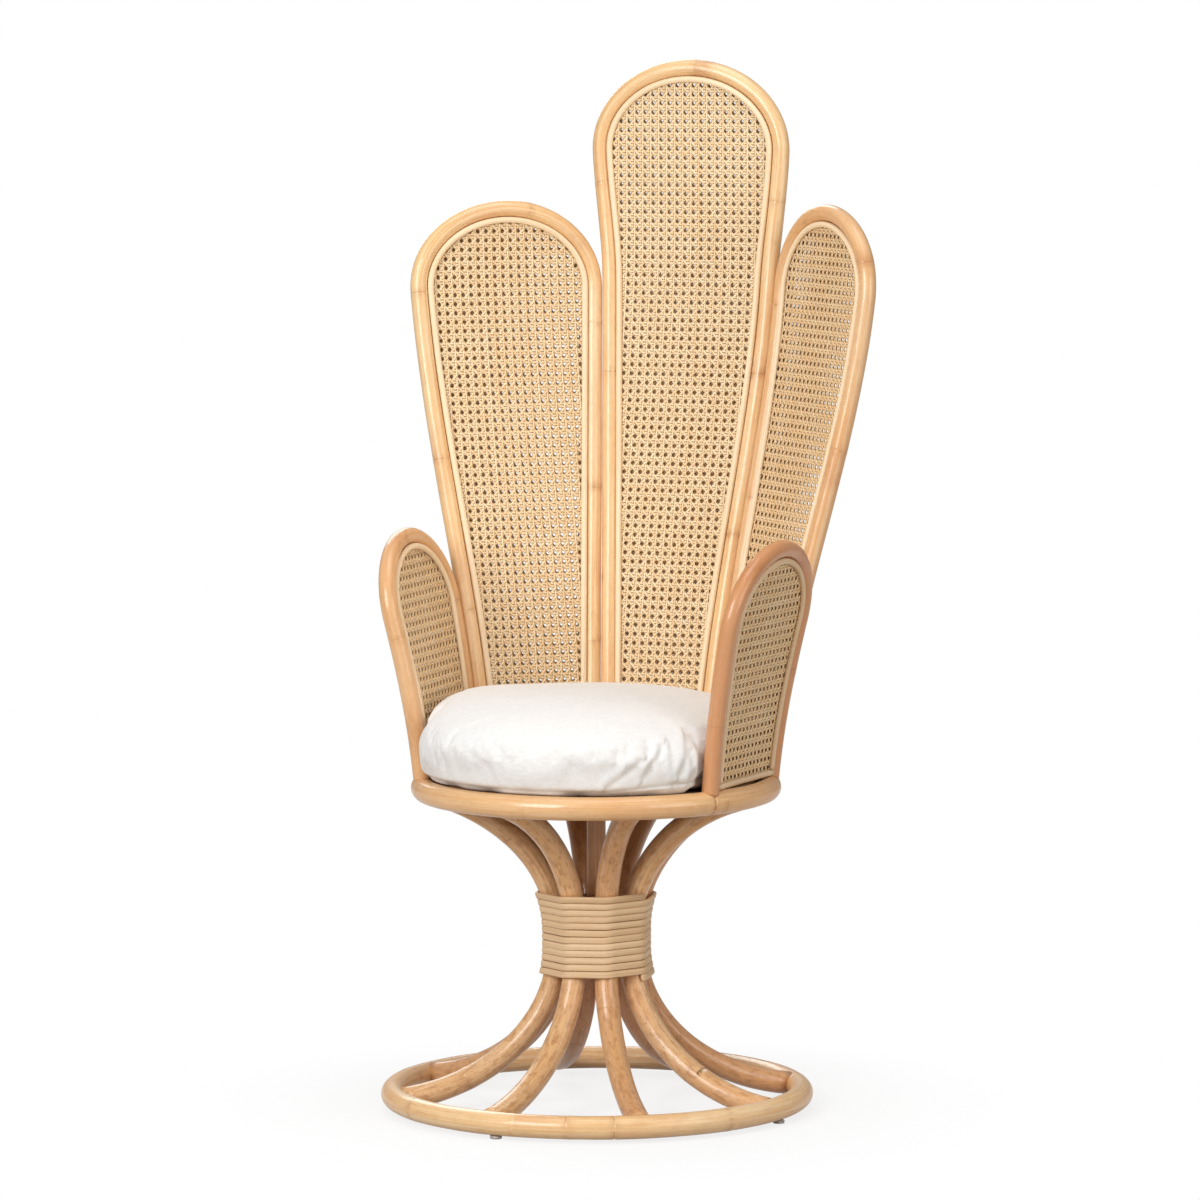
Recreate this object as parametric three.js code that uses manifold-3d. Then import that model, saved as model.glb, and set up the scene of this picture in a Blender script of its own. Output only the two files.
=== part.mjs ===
// A rattan peacock chair: a floor ring, eight bent poles bound at the waist, a seat ring,
// five flared hoops filled with cane, and a loose round cushion.
// Millimetres, +Z up. The open front faces -Y, and left is -X.
import * as THREE from "three";
import { mergeVertices } from "three/addons/utils/BufferGeometryUtils.js";
import Module from "manifold-3d";

const wasm = await Module();
wasm.setup();

// Fits
const CLEARANCE = 0.3; // gap between pieces that touch

// Rattan stock, by diameter or section
const MAIN_POLE = 32; // both rings and the pedestal
const HOOP_POLE = 24;
const POST_POLE = 26;
const BEAD_WIDTH = 11; // split trim, across the panel's edge
const BEAD_DEPTH = 5; // split trim, off the panel's face
const BEAD_ROUND = 2.6; // rounding of the trim's two outer edges
const CANE_SHEET = 1.5; // one layer of woven cane
const CANE_GAP = 7; // between the inner and the outer layer

// Floor ring
const FLOOR_RING = 280; // radius to the middle of the pole
const GLIDE_WIDTH = 16;
const GLIDE_HEIGHT = 4;
const GLIDE_ROUND = 1.2;
const POLES_PER_GLIDE = 2; // every second pole stands over a glide

// Pedestal
const POLE_COUNT = 8;
const POLE_TURN = -10; // degrees from +X to the first pole
const GLIDE_TURN = 3.5; // degrees from a pole's foot to its glide
const WAIST_RADIUS = 54; // to the middle of the poles
const WAIST_LOW = 222; // the poles run straight between these heights
const WAIST_HIGH = 245;
const FOOT_SWEEP = 84; // degrees of the ellipse that each flare follows
const HEAD_SWEEP = 70;
const END_SHORT = 8; // the poles stop this far from the middle of a ring
const CORE_HEIGHT = 96; // turned plug that keeps the poles apart inside the binding

// Binding round the waist
const BINDING_MIDDLE = 241;
const BINDING_TURNS = 12;
const BINDING_PITCH = 9.4;
const BINDING_WIDTH = 8.5;
const BINDING_THICK = 5;

// Seat
const SEAT_RING = 237; // radius to the middle of the pole
const SEAT_HEIGHT = 442; // middle of the pole above the floor
const DECK_THICK = 12;
const DECK_DROP = 2; // deck face under the top of the ring

// Hoops: degrees from a hoop's middle to its edge, and height up its curve from the seat ring's middle
const BACK_HALF_ANGLE = 20.7;
const SIDE_HALF_ANGLE = 22.5;
const ARM_HALF_ANGLE = 27.5;
const BACK_HEIGHT = 983;
const SIDE_HEIGHT = 787;
const ARM_HEIGHT = 341;
const CROWN_RISE = 0.837; // height of a hoop's crown over its half width
const BACK_SWELL = 15; // how much each pole of the back spreads once it is past the side hoops
const SWELL_LOW = 0.87; // where that starts and ends, as shares of the side hoops' height
const SWELL_HIGH = 1.13;
const HOOP_START = 4; // the coped foot is cut from a pole that starts this far up the curve

// The curve that all hoops share: near upright at the foot and at the top, leaning out between
const LEAN_FOOT = 4; // degrees
const LEAN_MOST = 13.4;
const LEAN_PEAK = 356; // up the curve, where the lean is greatest

// Cushion
const CUSHION_CROWN = 115;
const CUSHION_EASE = 4; // room left to the panels
const CUSHION_OVERHANG = 15; // past the middle of the seat ring, at the open front
const CUSHION_CORNER = 15; // degrees past the arm's front foot where the bulge is full
const CUSHION_HOLD = 20; // degrees past the arm's middle where the bulge begins

// Facets
const RING_STEPS = 40;
const RING_SIDES = 12;
const POLE_SIDES = 10;
const FLARE_STEPS = 10;
const CROWN_STEPS = 15; // odd, so that a crown ends in a level step
const LEG_STEP = 90; // longest straight step up a hoop's pole
const CURVE_STEPS = 24; // for adding up the shared curve
const CROWN_PASSES = 30; // for fitting a crown between its poles
const DISC_STEPS = 40;
const GLIDE_STEPS = 12;
const CUSHION_STEPS = 36;
const BINDING_STEPS_PER_POLE = 3;

const radians = THREE.MathUtils.degToRad;
const mainRadius = MAIN_POLE / 2;
const hoopRadius = HOOP_POLE / 2;
const floorRingHeight = GLIDE_HEIGHT + CLEARANCE + mainRadius;
const seatTop = SEAT_HEIGHT + mainRadius;
const deckTop = seatTop - DECK_DROP;
const deckBottom = deckTop - DECK_THICK;
const beadLow = CANE_GAP / 2 + CANE_SHEET + CLEARANCE; // from a panel's middle to its trim
const trimReach = beadLow + BEAD_DEPTH;
const caneEdge = insetAt(CANE_GAP / 2);
const beadEdge = insetAt(beadLow);
const panelFoot = footRise(); // where the cane and its trim start, just over the seat ring

const colours = {
  pole: new THREE.MeshStandardMaterial({ color: 0xd9a66b, roughness: 0.42, metalness: 0 }),
  bead: new THREE.MeshStandardMaterial({ color: 0xe8cfa4, roughness: 0.55, metalness: 0 }),
  cane: new THREE.MeshStandardMaterial({ color: 0xd8b67c, roughness: 0.6, metalness: 0 }),
  binding: new THREE.MeshStandardMaterial({ color: 0xcdb083, roughness: 0.6, metalness: 0 }),
  wood: new THREE.MeshStandardMaterial({ color: 0xb98f5f, roughness: 0.7, metalness: 0 }),
  cloth: new THREE.MeshStandardMaterial({ color: 0xf1efea, roughness: 0.9, metalness: 0 }),
  glide: new THREE.MeshStandardMaterial({ color: 0xb9b3ad, roughness: 0.5, metalness: 0 }),
};

// A curve whose steps follow its own parameter, so a straight run takes few of them.
class SteppedPath extends THREE.Curve {
  getUtoTmapping(u) {
    return u;
  }
}

// One pedestal pole in the XZ plane: a flare up from the floor ring, a straight waist,
// and a flare out to the seat ring.
class PedestalPath extends SteppedPath {
  constructor() {
    super();
    this.steps = 2 * FLARE_STEPS + 1;
  }

  getPoint(t, target = new THREE.Vector3()) {
    const step = t * this.steps;
    if (step <= FLARE_STEPS) {
      const angle = footFlare.end * (1 - step / FLARE_STEPS);
      return target.set(flareRadius(footFlare, angle), 0, WAIST_LOW - footFlare.rise * Math.sin(angle));
    }
    const angle = headFlare.end * Math.max(0, (step - FLARE_STEPS - 1) / FLARE_STEPS);
    const height = WAIST_HIGH + headFlare.rise * Math.sin(angle);
    const waist = Math.min(1, step - FLARE_STEPS);
    return target.set(
      flareRadius(headFlare, angle),
      0,
      THREE.MathUtils.lerp(WAIST_LOW, height, waist),
    );
  }
}

// The quarter ellipse of a flare that reaches the middle of a ring after the given sweep,
// cut short of it.
function flare(ringRadius, reach, sweepDegrees) {
  const sweep = radians(sweepDegrees);
  const out = (ringRadius - WAIST_RADIUS) / (1 - Math.cos(sweep));
  const rise = reach / Math.sin(sweep);
  const end = Math.acos(1 - (ringRadius - END_SHORT - WAIST_RADIUS) / out);
  return { out, rise, end };
}

function flareRadius({ out }, angle) {
  return WAIST_RADIUS + out * (1 - Math.cos(angle));
}

const footFlare = flare(FLOOR_RING, WAIST_LOW - floorRingHeight, FOOT_SWEEP);
const headFlare = flare(SEAT_RING, SEAT_HEIGHT - WAIST_HIGH, HEAD_SWEEP);

// Distance of the poles from the axis at a height near the waist, and its slope.
function poleAt(height) {
  const below = height < WAIST_LOW;
  const past = below ? WAIST_LOW - height : Math.max(0, height - WAIST_HIGH);
  const shape = below ? footFlare : headFlare;
  const angle = Math.asin(past / shape.rise);
  const slope = ((below ? -1 : 1) * shape.out * Math.tan(angle)) / shape.rise;
  return { radius: flareRadius(shape, angle), slope };
}

// How far the straight steps of a pole stand out of its curve.
const stepBulge = Math.max(
  ...[footFlare, headFlare].map(({ out, end }) => out * (1 - Math.cos(end / FLARE_STEPS / 2))),
);

// How far from the middle of a hoop's pole a piece stays that lies off the panel's middle by a depth.
function insetAt(depth) {
  return Math.sqrt(hoopRadius ** 2 - depth ** 2) + CLEARANCE;
}

// How far the shared curve leans out of the upright at a rise along it.
function leanAt(rise) {
  const past = rise / LEAN_PEAK - 1;
  return radians(Math.max(0, LEAN_MOST - (LEAN_MOST - LEAN_FOOT) * past ** 2));
}

// How far out and up the shared curve has come at a rise along it.
function curveAt(rise) {
  const step = rise / CURVE_STEPS;
  let out = 0;
  let up = 0;
  for (let i = 0; i < CURVE_STEPS; i++) {
    const lean = leanAt((i + 0.5) * step);
    out += step * Math.sin(lean);
    up += step * Math.cos(lean);
  }
  return { out, up, lean: leanAt(rise) };
}

// The lowest rise at which a panel with its trim is clear of the seat ring.
function footRise() {
  const lean = leanAt(mainRadius);
  return (mainRadius + CLEARANCE + trimReach * Math.sin(lean)) / Math.cos(lean);
}

// A hoop's plan: its foot stands on the seat ring, and its poles keep one distance to the plane
// between it and its neighbour, so that both hoops' poles run side by side.
function hoopPlan(azimuth, halfAngle, height, swell = 0) {
  const footAngle = halfAngle - Math.asin((hoopRadius + CLEARANCE / 2) / SEAT_RING);
  const plan = {
    azimuth,
    halfAngle,
    footAngle,
    swell,
    footHalf: SEAT_RING * Math.sin(footAngle),
    distance: SEAT_RING * Math.cos(footAngle),
  };
  // The crown is half an ellipse that goes on from both poles; each pass brings its width nearer.
  plan.crownHalf = plan.footHalf;
  plan.shoulder = 0;
  for (let i = 0; i < CROWN_PASSES; i++) {
    plan.crownRise = plan.crownHalf * CROWN_RISE;
    plan.crownMiddle = height - plan.crownRise;
    plan.shoulderRise = plan.crownMiddle + plan.crownRise * Math.sin(plan.shoulder);
    plan.shoulder = -Math.atan(spread(plan, plan.shoulderRise) * CROWN_RISE);
    plan.crownHalf = halfWidth(plan, plan.shoulderRise) / Math.cos(plan.shoulder);
  }
  return plan;
}

// Half width between the middles of a hoop's poles at a rise.
function halfWidth(plan, rise) {
  const past = THREE.MathUtils.smoothstep(rise, SWELL_LOW * SIDE_HEIGHT, SWELL_HIGH * SIDE_HEIGHT);
  return plan.footHalf + curveAt(rise).out * Math.tan(plan.halfAngle) + plan.swell * past;
}

// How fast that half width grows.
function spread(plan, rise) {
  return halfWidth(plan, rise + 0.5) - halfWidth(plan, rise - 0.5);
}

// The places round a panel: up one pole from its foot, over the crown and down the other pole.
function stations(plan) {
  const low = panelFoot + 2 * BEAD_WIDTH; // a short first step, past the trim's corner
  const steps = Math.ceil((plan.shoulderRise - low) / LEG_STEP);
  const leg = (side) => [
    { side, rise: panelFoot, corner: true },
    ...Array.from({ length: steps }, (_, i) => ({
      side,
      rise: THREE.MathUtils.lerp(low, plan.shoulderRise, i / steps),
    })),
  ];
  const crown = Array.from({ length: CROWN_STEPS + 1 }, (_, i) => ({
    angle: THREE.MathUtils.lerp(plan.shoulder, Math.PI - plan.shoulder, i / CROWN_STEPS),
  }));
  return [...leg(1), ...crown, ...leg(-1).reverse()];
}

// A point of a hoop laid flat, moved in from the middle of the pole by an inset.
function hoopPoint(plan, { side, rise, angle }, inset) {
  if (angle === undefined) {
    const steep = Math.hypot(1, spread(plan, rise));
    return new THREE.Vector2(side * (halfWidth(plan, rise) - inset * steep), rise);
  }
  const across = Math.cos(angle) / plan.crownHalf;
  const along = Math.sin(angle) / plan.crownRise;
  const length = Math.hypot(across, along);
  return new THREE.Vector2(
    plan.crownHalf * Math.cos(angle) - (inset * across) / length,
    plan.crownMiddle + plan.crownRise * Math.sin(angle) - (inset * along) / length,
  );
}

// A point of a flat hoop, bent to the shared curve. Depth is towards the sitter.
function bent({ x, y }, depth) {
  const { out, up, lean } = curveAt(y);
  return new THREE.Vector3(x, up + depth * Math.sin(lean), depth * Math.cos(lean) - out);
}

// The middle line of a hoop's pole.
class HoopPath extends SteppedPath {
  constructor(plan) {
    super();
    const foot = (side) => ({ side, rise: HOOP_START });
    this.points = [foot(1), ...stations(plan), foot(-1)].map((at) => bent(hoopPoint(plan, at, 0), 0));
    this.steps = this.points.length - 1;
  }

  getPoint(t, target = new THREE.Vector3()) {
    const step = Math.min(Math.floor(t * this.steps), this.steps - 1);
    return target.lerpVectors(this.points[step], this.points[step + 1], t * this.steps - step);
  }
}

// The frame of a hoop: X across it, Y upright, +Z towards the sitter.
function hoopFrame(plan) {
  const out = new THREE.Vector3(Math.sin(plan.azimuth), Math.cos(plan.azimuth), 0);
  const across = new THREE.Vector3(Math.cos(plan.azimuth), -Math.sin(plan.azimuth), 0);
  const frame = new THREE.Matrix4().makeBasis(across, new THREE.Vector3(0, 0, 1), out.clone().negate());
  return frame.setPosition(out.multiplyScalar(plan.distance).setZ(SEAT_HEIGHT));
}

// A regular polygon inside a circle.
function circle(radius, sides) {
  const points = [];
  for (let i = 0; i < sides; i++) {
    const angle = (2 * Math.PI * i) / sides;
    points.push(new THREE.Vector2(radius * Math.cos(angle), radius * Math.sin(angle)));
  }
  return points;
}

// A round pole along a path.
function poleGeometry(path, diameter) {
  const section = new THREE.Shape(circle(diameter / 2, POLE_SIDES));
  return new THREE.ExtrudeGeometry(section, {
    extrudePath: path,
    steps: path.steps,
    bevelEnabled: false,
  });
}

// A profile of [radius, height] pairs turned round the Z axis.
function turned(profile, steps) {
  const points = profile.map(([radius, height]) => new THREE.Vector2(radius, height));
  return new THREE.LatheGeometry(points, steps).rotateX(Math.PI / 2);
}

// A ring of round pole, lying flat.
function ringGeometry(radius, poleRadius, height) {
  const section = circle(poleRadius, RING_SIDES).map((p) => [radius + p.x, height + p.y]);
  return turned([...section, section[0]], RING_STEPS);
}

// A plain disc, lying flat.
function discGeometry(radius, low, high) {
  const profile = [
    [0, low],
    [radius, low],
    [radius, high],
    [0, high],
  ];
  return turned(profile, DISC_STEPS);
}

function solidOf(geometry) {
  const bare = new THREE.BufferGeometry();
  bare.setAttribute("position", geometry.getAttribute("position"));
  bare.setIndex(geometry.index);
  const merged = mergeVertices(bare, 1e-4);
  const vertProperties = new Float32Array(merged.getAttribute("position").array);
  const triVerts = new Uint32Array(merged.index.array);
  return new wasm.Manifold(new wasm.Mesh({ numProp: 3, vertProperties, triVerts }));
}

function geometryOf(solid) {
  const mesh = solid.getMesh();
  const geometry = new THREE.BufferGeometry();
  geometry.setAttribute("position", new THREE.BufferAttribute(mesh.vertProperties, 3));
  geometry.setIndex(new THREE.BufferAttribute(mesh.triVerts, 1));
  return geometry;
}

// A geometry less some cutters, both in the same frame.
function cut(geometry, ...cutters) {
  const left = cutters.reduce((solid, cutter) => solid.subtract(solidOf(cutter)), solidOf(geometry));
  return geometryOf(left);
}

const chair = new THREE.Group();

function add(name, geometry, material, parent = chair) {
  const mesh = new THREE.Mesh(geometry, material);
  mesh.name = name;
  parent.add(mesh);
  return mesh;
}

// The fitted gap, widened so that a faceted cutter keeps it on its flats too.
const ringCut = (mainRadius + CLEARANCE) / Math.cos(Math.PI / RING_SIDES);

function addRings() {
  add("floor_ring", ringGeometry(FLOOR_RING, mainRadius, floorRingHeight), colours.pole);
  add("seat_ring", ringGeometry(SEAT_RING, mainRadius, SEAT_HEIGHT), colours.pole);
}

// Nail-on glides under the floor ring, below every second pole.
function addGlides() {
  const profile = [
    [0, 0],
    [GLIDE_WIDTH / 2 - GLIDE_ROUND, 0],
    [GLIDE_WIDTH / 2, GLIDE_ROUND],
    [GLIDE_WIDTH / 2, GLIDE_HEIGHT],
    [0, GLIDE_HEIGHT],
  ];
  for (let i = 0; i < POLE_COUNT / POLES_PER_GLIDE; i++) {
    const glide = add(`floor_glide_${i + 1}`, turned(profile, GLIDE_STEPS), colours.glide);
    const turn = radians(POLE_TURN + GLIDE_TURN) + (2 * Math.PI * i * POLES_PER_GLIDE) / POLE_COUNT;
    glide.position.set(FLOOR_RING * Math.cos(turn), FLOOR_RING * Math.sin(turn), 0);
  }
}

// Bent poles, coped against both rings and planed flat under the deck.
function addPedestal() {
  const floorRing = ringGeometry(FLOOR_RING, ringCut, floorRingHeight);
  const seatRing = ringGeometry(SEAT_RING, ringCut, SEAT_HEIGHT);
  const underDeck = discGeometry(SEAT_RING + MAIN_POLE, deckBottom - CLEARANCE, seatTop + MAIN_POLE);
  for (let i = 0; i < POLE_COUNT; i++) {
    const turn = radians(POLE_TURN) + (2 * Math.PI * i) / POLE_COUNT;
    const back = new THREE.Matrix4().makeRotationZ(-turn);
    const cutters = [floorRing, seatRing].map((ring) => ring.clone().applyMatrix4(back));
    const pole = cut(poleGeometry(new PedestalPath(), MAIN_POLE), ...cutters, underDeck);
    add(`pedestal_pole_${i + 1}`, pole, colours.pole).rotation.z = turn;
  }
}

// A turned plug inside the bound poles, and the prop that stands on it under the deck.
function addCore() {
  const low = BINDING_MIDDLE - CORE_HEIGHT / 2;
  const high = BINDING_MIDDLE + CORE_HEIGHT / 2;
  const radius = WAIST_RADIUS - mainRadius - CLEARANCE;
  add("waist_core", discGeometry(radius, low, high), colours.wood);
  const length = deckBottom - high - 2 * CLEARANCE;
  const post = new THREE.CylinderGeometry(POST_POLE / 2, POST_POLE / 2, length, POLE_SIDES);
  const placed = add("centre_post", post.rotateX(Math.PI / 2), colours.pole);
  placed.position.z = high + CLEARANCE + length / 2;
}

// The section of the binding, flat against the poles: out from them, and along them.
const bindingSection = [
  [BINDING_THICK / 2, -BINDING_WIDTH / 4],
  [BINDING_THICK / 2, BINDING_WIDTH / 4],
  [0, BINDING_WIDTH / 2],
  [-BINDING_THICK / 2, BINDING_WIDTH / 4],
  [-BINDING_THICK / 2, -BINDING_WIDTH / 4],
  [0, -BINDING_WIDTH / 2],
];

// One unbroken strand wound round the eight poles: it bends over each pole in equal steps and
// runs straight to the next.
function bindingRings() {
  const perTurn = POLE_COUNT * BINDING_STEPS_PER_POLE;
  const total = BINDING_TURNS * perTurn;
  const spread = Math.PI / POLE_COUNT;
  const bend = (2 * spread) / (BINDING_STEPS_PER_POLE - 1);
  const start = BINDING_MIDDLE - (BINDING_TURNS * BINDING_PITCH) / 2;
  const rings = [];
  for (let i = 0; i <= total; i++) {
    const pole = Math.floor(i / BINDING_STEPS_PER_POLE);
    const lean = -spread + bend * (i % BINDING_STEPS_PER_POLE);
    const height = start + (BINDING_PITCH * i) / perTurn;
    const { radius, slope } = poleAt(height);
    const steep = Math.hypot(1, slope);
    const off = (mainRadius + stepBulge + CLEARANCE + BINDING_THICK / 2) / Math.cos(bend / 2);
    const turn = radians(POLE_TURN) + (2 * Math.PI * pole) / POLE_COUNT;
    const middle = new THREE.Vector3(radius + off * steep * Math.cos(lean), off * Math.sin(lean), height);
    const out = new THREE.Vector3(Math.cos(lean) / steep, Math.sin(lean) / steep, -slope / steep);
    const rise = slope / steep;
    const along = new THREE.Vector3(Math.cos(lean) * rise, Math.sin(lean) * rise, 1 / steep);
    const upright = new THREE.Vector3(0, 0, 1);
    rings.push(
      bindingSection.map(([u, v]) =>
        middle.clone().addScaledVector(out, u).addScaledVector(along, v).applyAxisAngle(upright, turn),
      ),
    );
  }
  return { rings, perTurn };
}

// A closed skin over rings of points: a loop, or else with a fan on each end.
function skin(rings, loop = false) {
  const sides = rings[0].length;
  const last = (rings.length - 1) * sides;
  const index = [];
  for (let i = 0; i < (loop ? rings.length : rings.length - 1); i++) {
    const [here, ahead] = [i * sides, ((i + 1) % rings.length) * sides];
    for (let j = 0; j < sides; j++) {
      const k = (j + 1) % sides;
      index.push(here + j, ahead + k, here + k, here + j, ahead + j, ahead + k);
    }
  }
  for (let j = 1; !loop && j + 1 < sides; j++) {
    index.push(0, j, j + 1, last, last + j + 1, last + j);
  }
  const geometry = new THREE.BufferGeometry().setFromPoints(rings.flat());
  geometry.setIndex(index);
  return geometry;
}

function addBinding() {
  const { rings, perTurn } = bindingRings();
  add("waist_binding", skin(rings), colours.binding);
  let least = Infinity;
  for (let i = 0; i + perTurn < rings.length; i++) {
    for (const p of rings[i]) {
      for (const q of rings[i + perTurn]) {
        least = Math.min(least, p.distanceTo(q));
      }
    }
  }
  console.log(`binding: least gap between turns ${least.toFixed(2)} mm`);
}

// The panel that carries the cushion, inside the seat ring and on the pole heads.
function addDeck() {
  const low = deckBottom - SEAT_HEIGHT;
  const ringInside = SEAT_RING - Math.sqrt(mainRadius ** 2 - Math.min(low ** 2, mainRadius ** 2));
  add("seat_deck", discGeometry(ringInside - 2 * CLEARANCE, deckBottom, deckTop), colours.wood);
}

// The hoops by node name, left and right mirrored.
const sideAngle = BACK_HALF_ANGLE + SIDE_HALF_ANGLE;
const armAngle = sideAngle + SIDE_HALF_ANGLE + ARM_HALF_ANGLE;
const backPlan = hoopPlan(0, radians(BACK_HALF_ANGLE), BACK_HEIGHT, BACK_SWELL);
const sidePlan = (side) => hoopPlan(side * radians(sideAngle), radians(SIDE_HALF_ANGLE), SIDE_HEIGHT);
const armPlan = (side) => hoopPlan(side * radians(armAngle), radians(ARM_HALF_ANGLE), ARM_HEIGHT);
const hoops = [
  ["back", backPlan],
  ["side_left", sidePlan(-1)],
  ["side_right", sidePlan(1)],
  ["arm_left", armPlan(-1)],
  ["arm_right", armPlan(1)],
];

// One layer of cane between two depths, in level rows from its foot to its crown.
function caneGeometry(plan, low, high) {
  const places = stations(plan);
  const rows = places.slice(0, places.length / 2).map((station) => {
    const right = hoopPoint(plan, station, caneEdge);
    const left = { x: -right.x, y: right.y };
    return [bent(left, low), bent(right, low), bent(right, high), bent(left, high)];
  });
  return skin(rows);
}

// The section of the split trim: off the panel's middle, and in from the middle of the pole.
const beadSection = [
  [beadLow, beadEdge],
  [trimReach - BEAD_ROUND, beadEdge],
  [trimReach, beadEdge + BEAD_ROUND],
  [trimReach, beadEdge + BEAD_WIDTH - BEAD_ROUND],
  [trimReach - BEAD_ROUND, beadEdge + BEAD_WIDTH],
  [beadLow, beadEdge + BEAD_WIDTH],
];

// The loop of split trim on one face: mitred at the foot, bent round the crown.
function beadGeometry(plan, face) {
  const section = face > 0 ? beadSection : beadSection.toReversed();
  const rings = stations(plan).map((station) =>
    section.map(([depth, inset]) => {
      const rise = station.corner ? panelFoot + inset - beadEdge : station.rise;
      return bent(hoopPoint(plan, { ...station, rise }, inset), face * depth);
    }),
  );
  return skin(rings, true);
}

// A hoop coped onto the seat ring, two layers of cane inside it, and the trim on both faces.
function addHoop(name, plan) {
  const frame = hoopFrame(plan);
  const group = new THREE.Group();
  group.applyMatrix4(frame);
  chair.add(group);
  const seatRing = ringGeometry(SEAT_RING, ringCut, SEAT_HEIGHT).applyMatrix4(frame.clone().invert());
  add(`${name}_hoop`, cut(poleGeometry(new HoopPath(plan), HOOP_POLE), seatRing), colours.pole, group);

  const [near, far] = [CANE_GAP / 2, CANE_GAP / 2 + CANE_SHEET];
  add(`${name}_cane`, caneGeometry(plan, near, far), colours.cane, group);
  add(`${name}_cane_outer`, caneGeometry(plan, -far, -near), colours.cane, group);
  add(`${name}_bead_inner`, beadGeometry(plan, 1), colours.bead, group);
  add(`${name}_bead_outer`, beadGeometry(plan, -1), colours.bead, group);
}

// The cushion's side, as shares of its radius and of its crown height.
const CUSHION_PROFILE = [
  [0, 0],
  [0.8, 0],
  [0.92, 0.05],
  [0.985, 0.2],
  [1, 0.38],
  [0.985, 0.55],
  [0.9, 0.75],
  [0.72, 0.89],
  [0.45, 0.97],
  [0, 1],
];

// A round cushion, squeezed between the arms and bulging out at the open front.
function addCushion() {
  const low = deckTop + CLEARANCE;
  const inside = (plan) =>
    Math.min(
      ...CUSHION_PROFILE.filter(([share]) => share > 0).map(([share, rise]) => {
        const { out, lean } = curveAt(low + rise * CUSHION_CROWN - SEAT_HEIGHT);
        return (plan.distance + out - trimReach / Math.cos(lean) - CUSHION_EASE) / share;
      }),
    );
  const arm = armPlan(1);
  const side = inside(arm);
  const back = inside(backPlan);
  const front = SEAT_RING + CUSHION_OVERHANG;
  const hold = arm.azimuth + radians(CUSHION_HOLD);
  const corner = arm.azimuth + arm.footAngle + radians(CUSHION_CORNER);
  const behind = radians(sideAngle);
  const profile = CUSHION_PROFILE.map(([r, z]) => [r, low + z * CUSHION_CROWN]);
  const geometry = turned(profile, CUSHION_STEPS);
  const points = geometry.getAttribute("position");
  for (let i = 0; i < points.count; i++) {
    const angle = Math.abs(Math.atan2(points.getX(i), points.getY(i)));
    const squeezed = THREE.MathUtils.lerp(
      back,
      side,
      THREE.MathUtils.smoothstep(angle, behind, arm.azimuth),
    );
    const radius = THREE.MathUtils.lerp(
      squeezed,
      front,
      THREE.MathUtils.smoothstep(angle, hold, corner),
    );
    points.setXY(i, points.getX(i) * radius, points.getY(i) * radius);
  }
  add("seat_cushion", geometry, colours.cloth);
}

addRings();
addGlides();
addPedestal();
addCore();
addBinding();
addDeck();
hoops.forEach(([name, plan]) => addHoop(name, plan));
addCushion();

// The origin is on the floor, under the middle of the whole chair's box.
const middle = new THREE.Box3().setFromObject(chair, true).getCenter(new THREE.Vector3());
chair.position.set(-middle.x, -middle.y, 0);

const root = new THREE.Group();
root.add(chair);

export default root;
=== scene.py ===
# The looks of a rattan peacock chair, built round its solids: smooth poles with their knots, woven
# cane, split trim, the wound waist and a simulated cushion. Metres, +Z up, the open front faces -Y.
import math

import bpy
import numpy as np
from mathutils import Matrix, Vector


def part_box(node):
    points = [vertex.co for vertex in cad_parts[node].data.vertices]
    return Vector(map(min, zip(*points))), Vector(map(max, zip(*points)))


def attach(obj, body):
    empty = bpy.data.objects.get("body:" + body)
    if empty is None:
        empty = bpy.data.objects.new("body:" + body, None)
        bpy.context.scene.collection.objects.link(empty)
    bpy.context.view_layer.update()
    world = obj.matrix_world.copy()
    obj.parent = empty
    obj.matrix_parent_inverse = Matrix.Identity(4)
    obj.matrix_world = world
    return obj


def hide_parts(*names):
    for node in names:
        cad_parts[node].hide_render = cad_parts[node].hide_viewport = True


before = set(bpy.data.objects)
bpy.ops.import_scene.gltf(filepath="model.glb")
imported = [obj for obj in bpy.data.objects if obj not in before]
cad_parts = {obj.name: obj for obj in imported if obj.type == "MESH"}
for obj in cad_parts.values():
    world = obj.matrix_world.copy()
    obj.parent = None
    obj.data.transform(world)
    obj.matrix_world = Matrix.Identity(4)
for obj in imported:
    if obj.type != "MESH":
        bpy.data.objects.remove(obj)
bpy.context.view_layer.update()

MM = 0.001

# Sizes of the solids, but for the two that say otherwise
CLEARANCE = 0.0003
MAIN_POLE = 0.032
HOOP_POLE = 0.024
POST_POLE = 0.026
BEAD_WIDTH = 0.0088  # as the photograph shows it; its solid is 11 mm wide
BEAD_DEPTH = 0.005
CANE_SHEET = 0.0015
CANE_GAP = 0.007
FLOOR_RING = 0.280
GLIDE_WIDTH = 0.016
GLIDE_HEIGHT = 0.004
GLIDE_ROUND = 0.0012
POLE_COUNT = 8
POLE_TURN = math.radians(-10)
WAIST_RADIUS = 0.054
WAIST_LOW = 0.222
WAIST_HIGH = 0.245
FOOT_SWEEP = math.radians(84)
HEAD_SWEEP = math.radians(70)
END_SHORT = 0.008
BINDING_MIDDLE = 0.241
BINDING_TURNS = 12
BINDING_PITCH = 0.0094
BINDING_FULL = 0.0091  # pulled flat until its turns nearly touch; its solid is 8.5 mm wide
BINDING_THICK = 0.005
SEAT_RING = 0.237
SEAT_HEIGHT = 0.442
DECK_THICK = 0.012
DECK_DROP = 0.002
BACK_HALF_ANGLE = math.radians(20.7)
SIDE_HALF_ANGLE = math.radians(22.5)
ARM_HALF_ANGLE = math.radians(27.5)
BACK_HEIGHT = 0.983
SIDE_HEIGHT = 0.787
ARM_HEIGHT = 0.341
CROWN_RISE = 0.837
BACK_SWELL = 0.015
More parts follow.
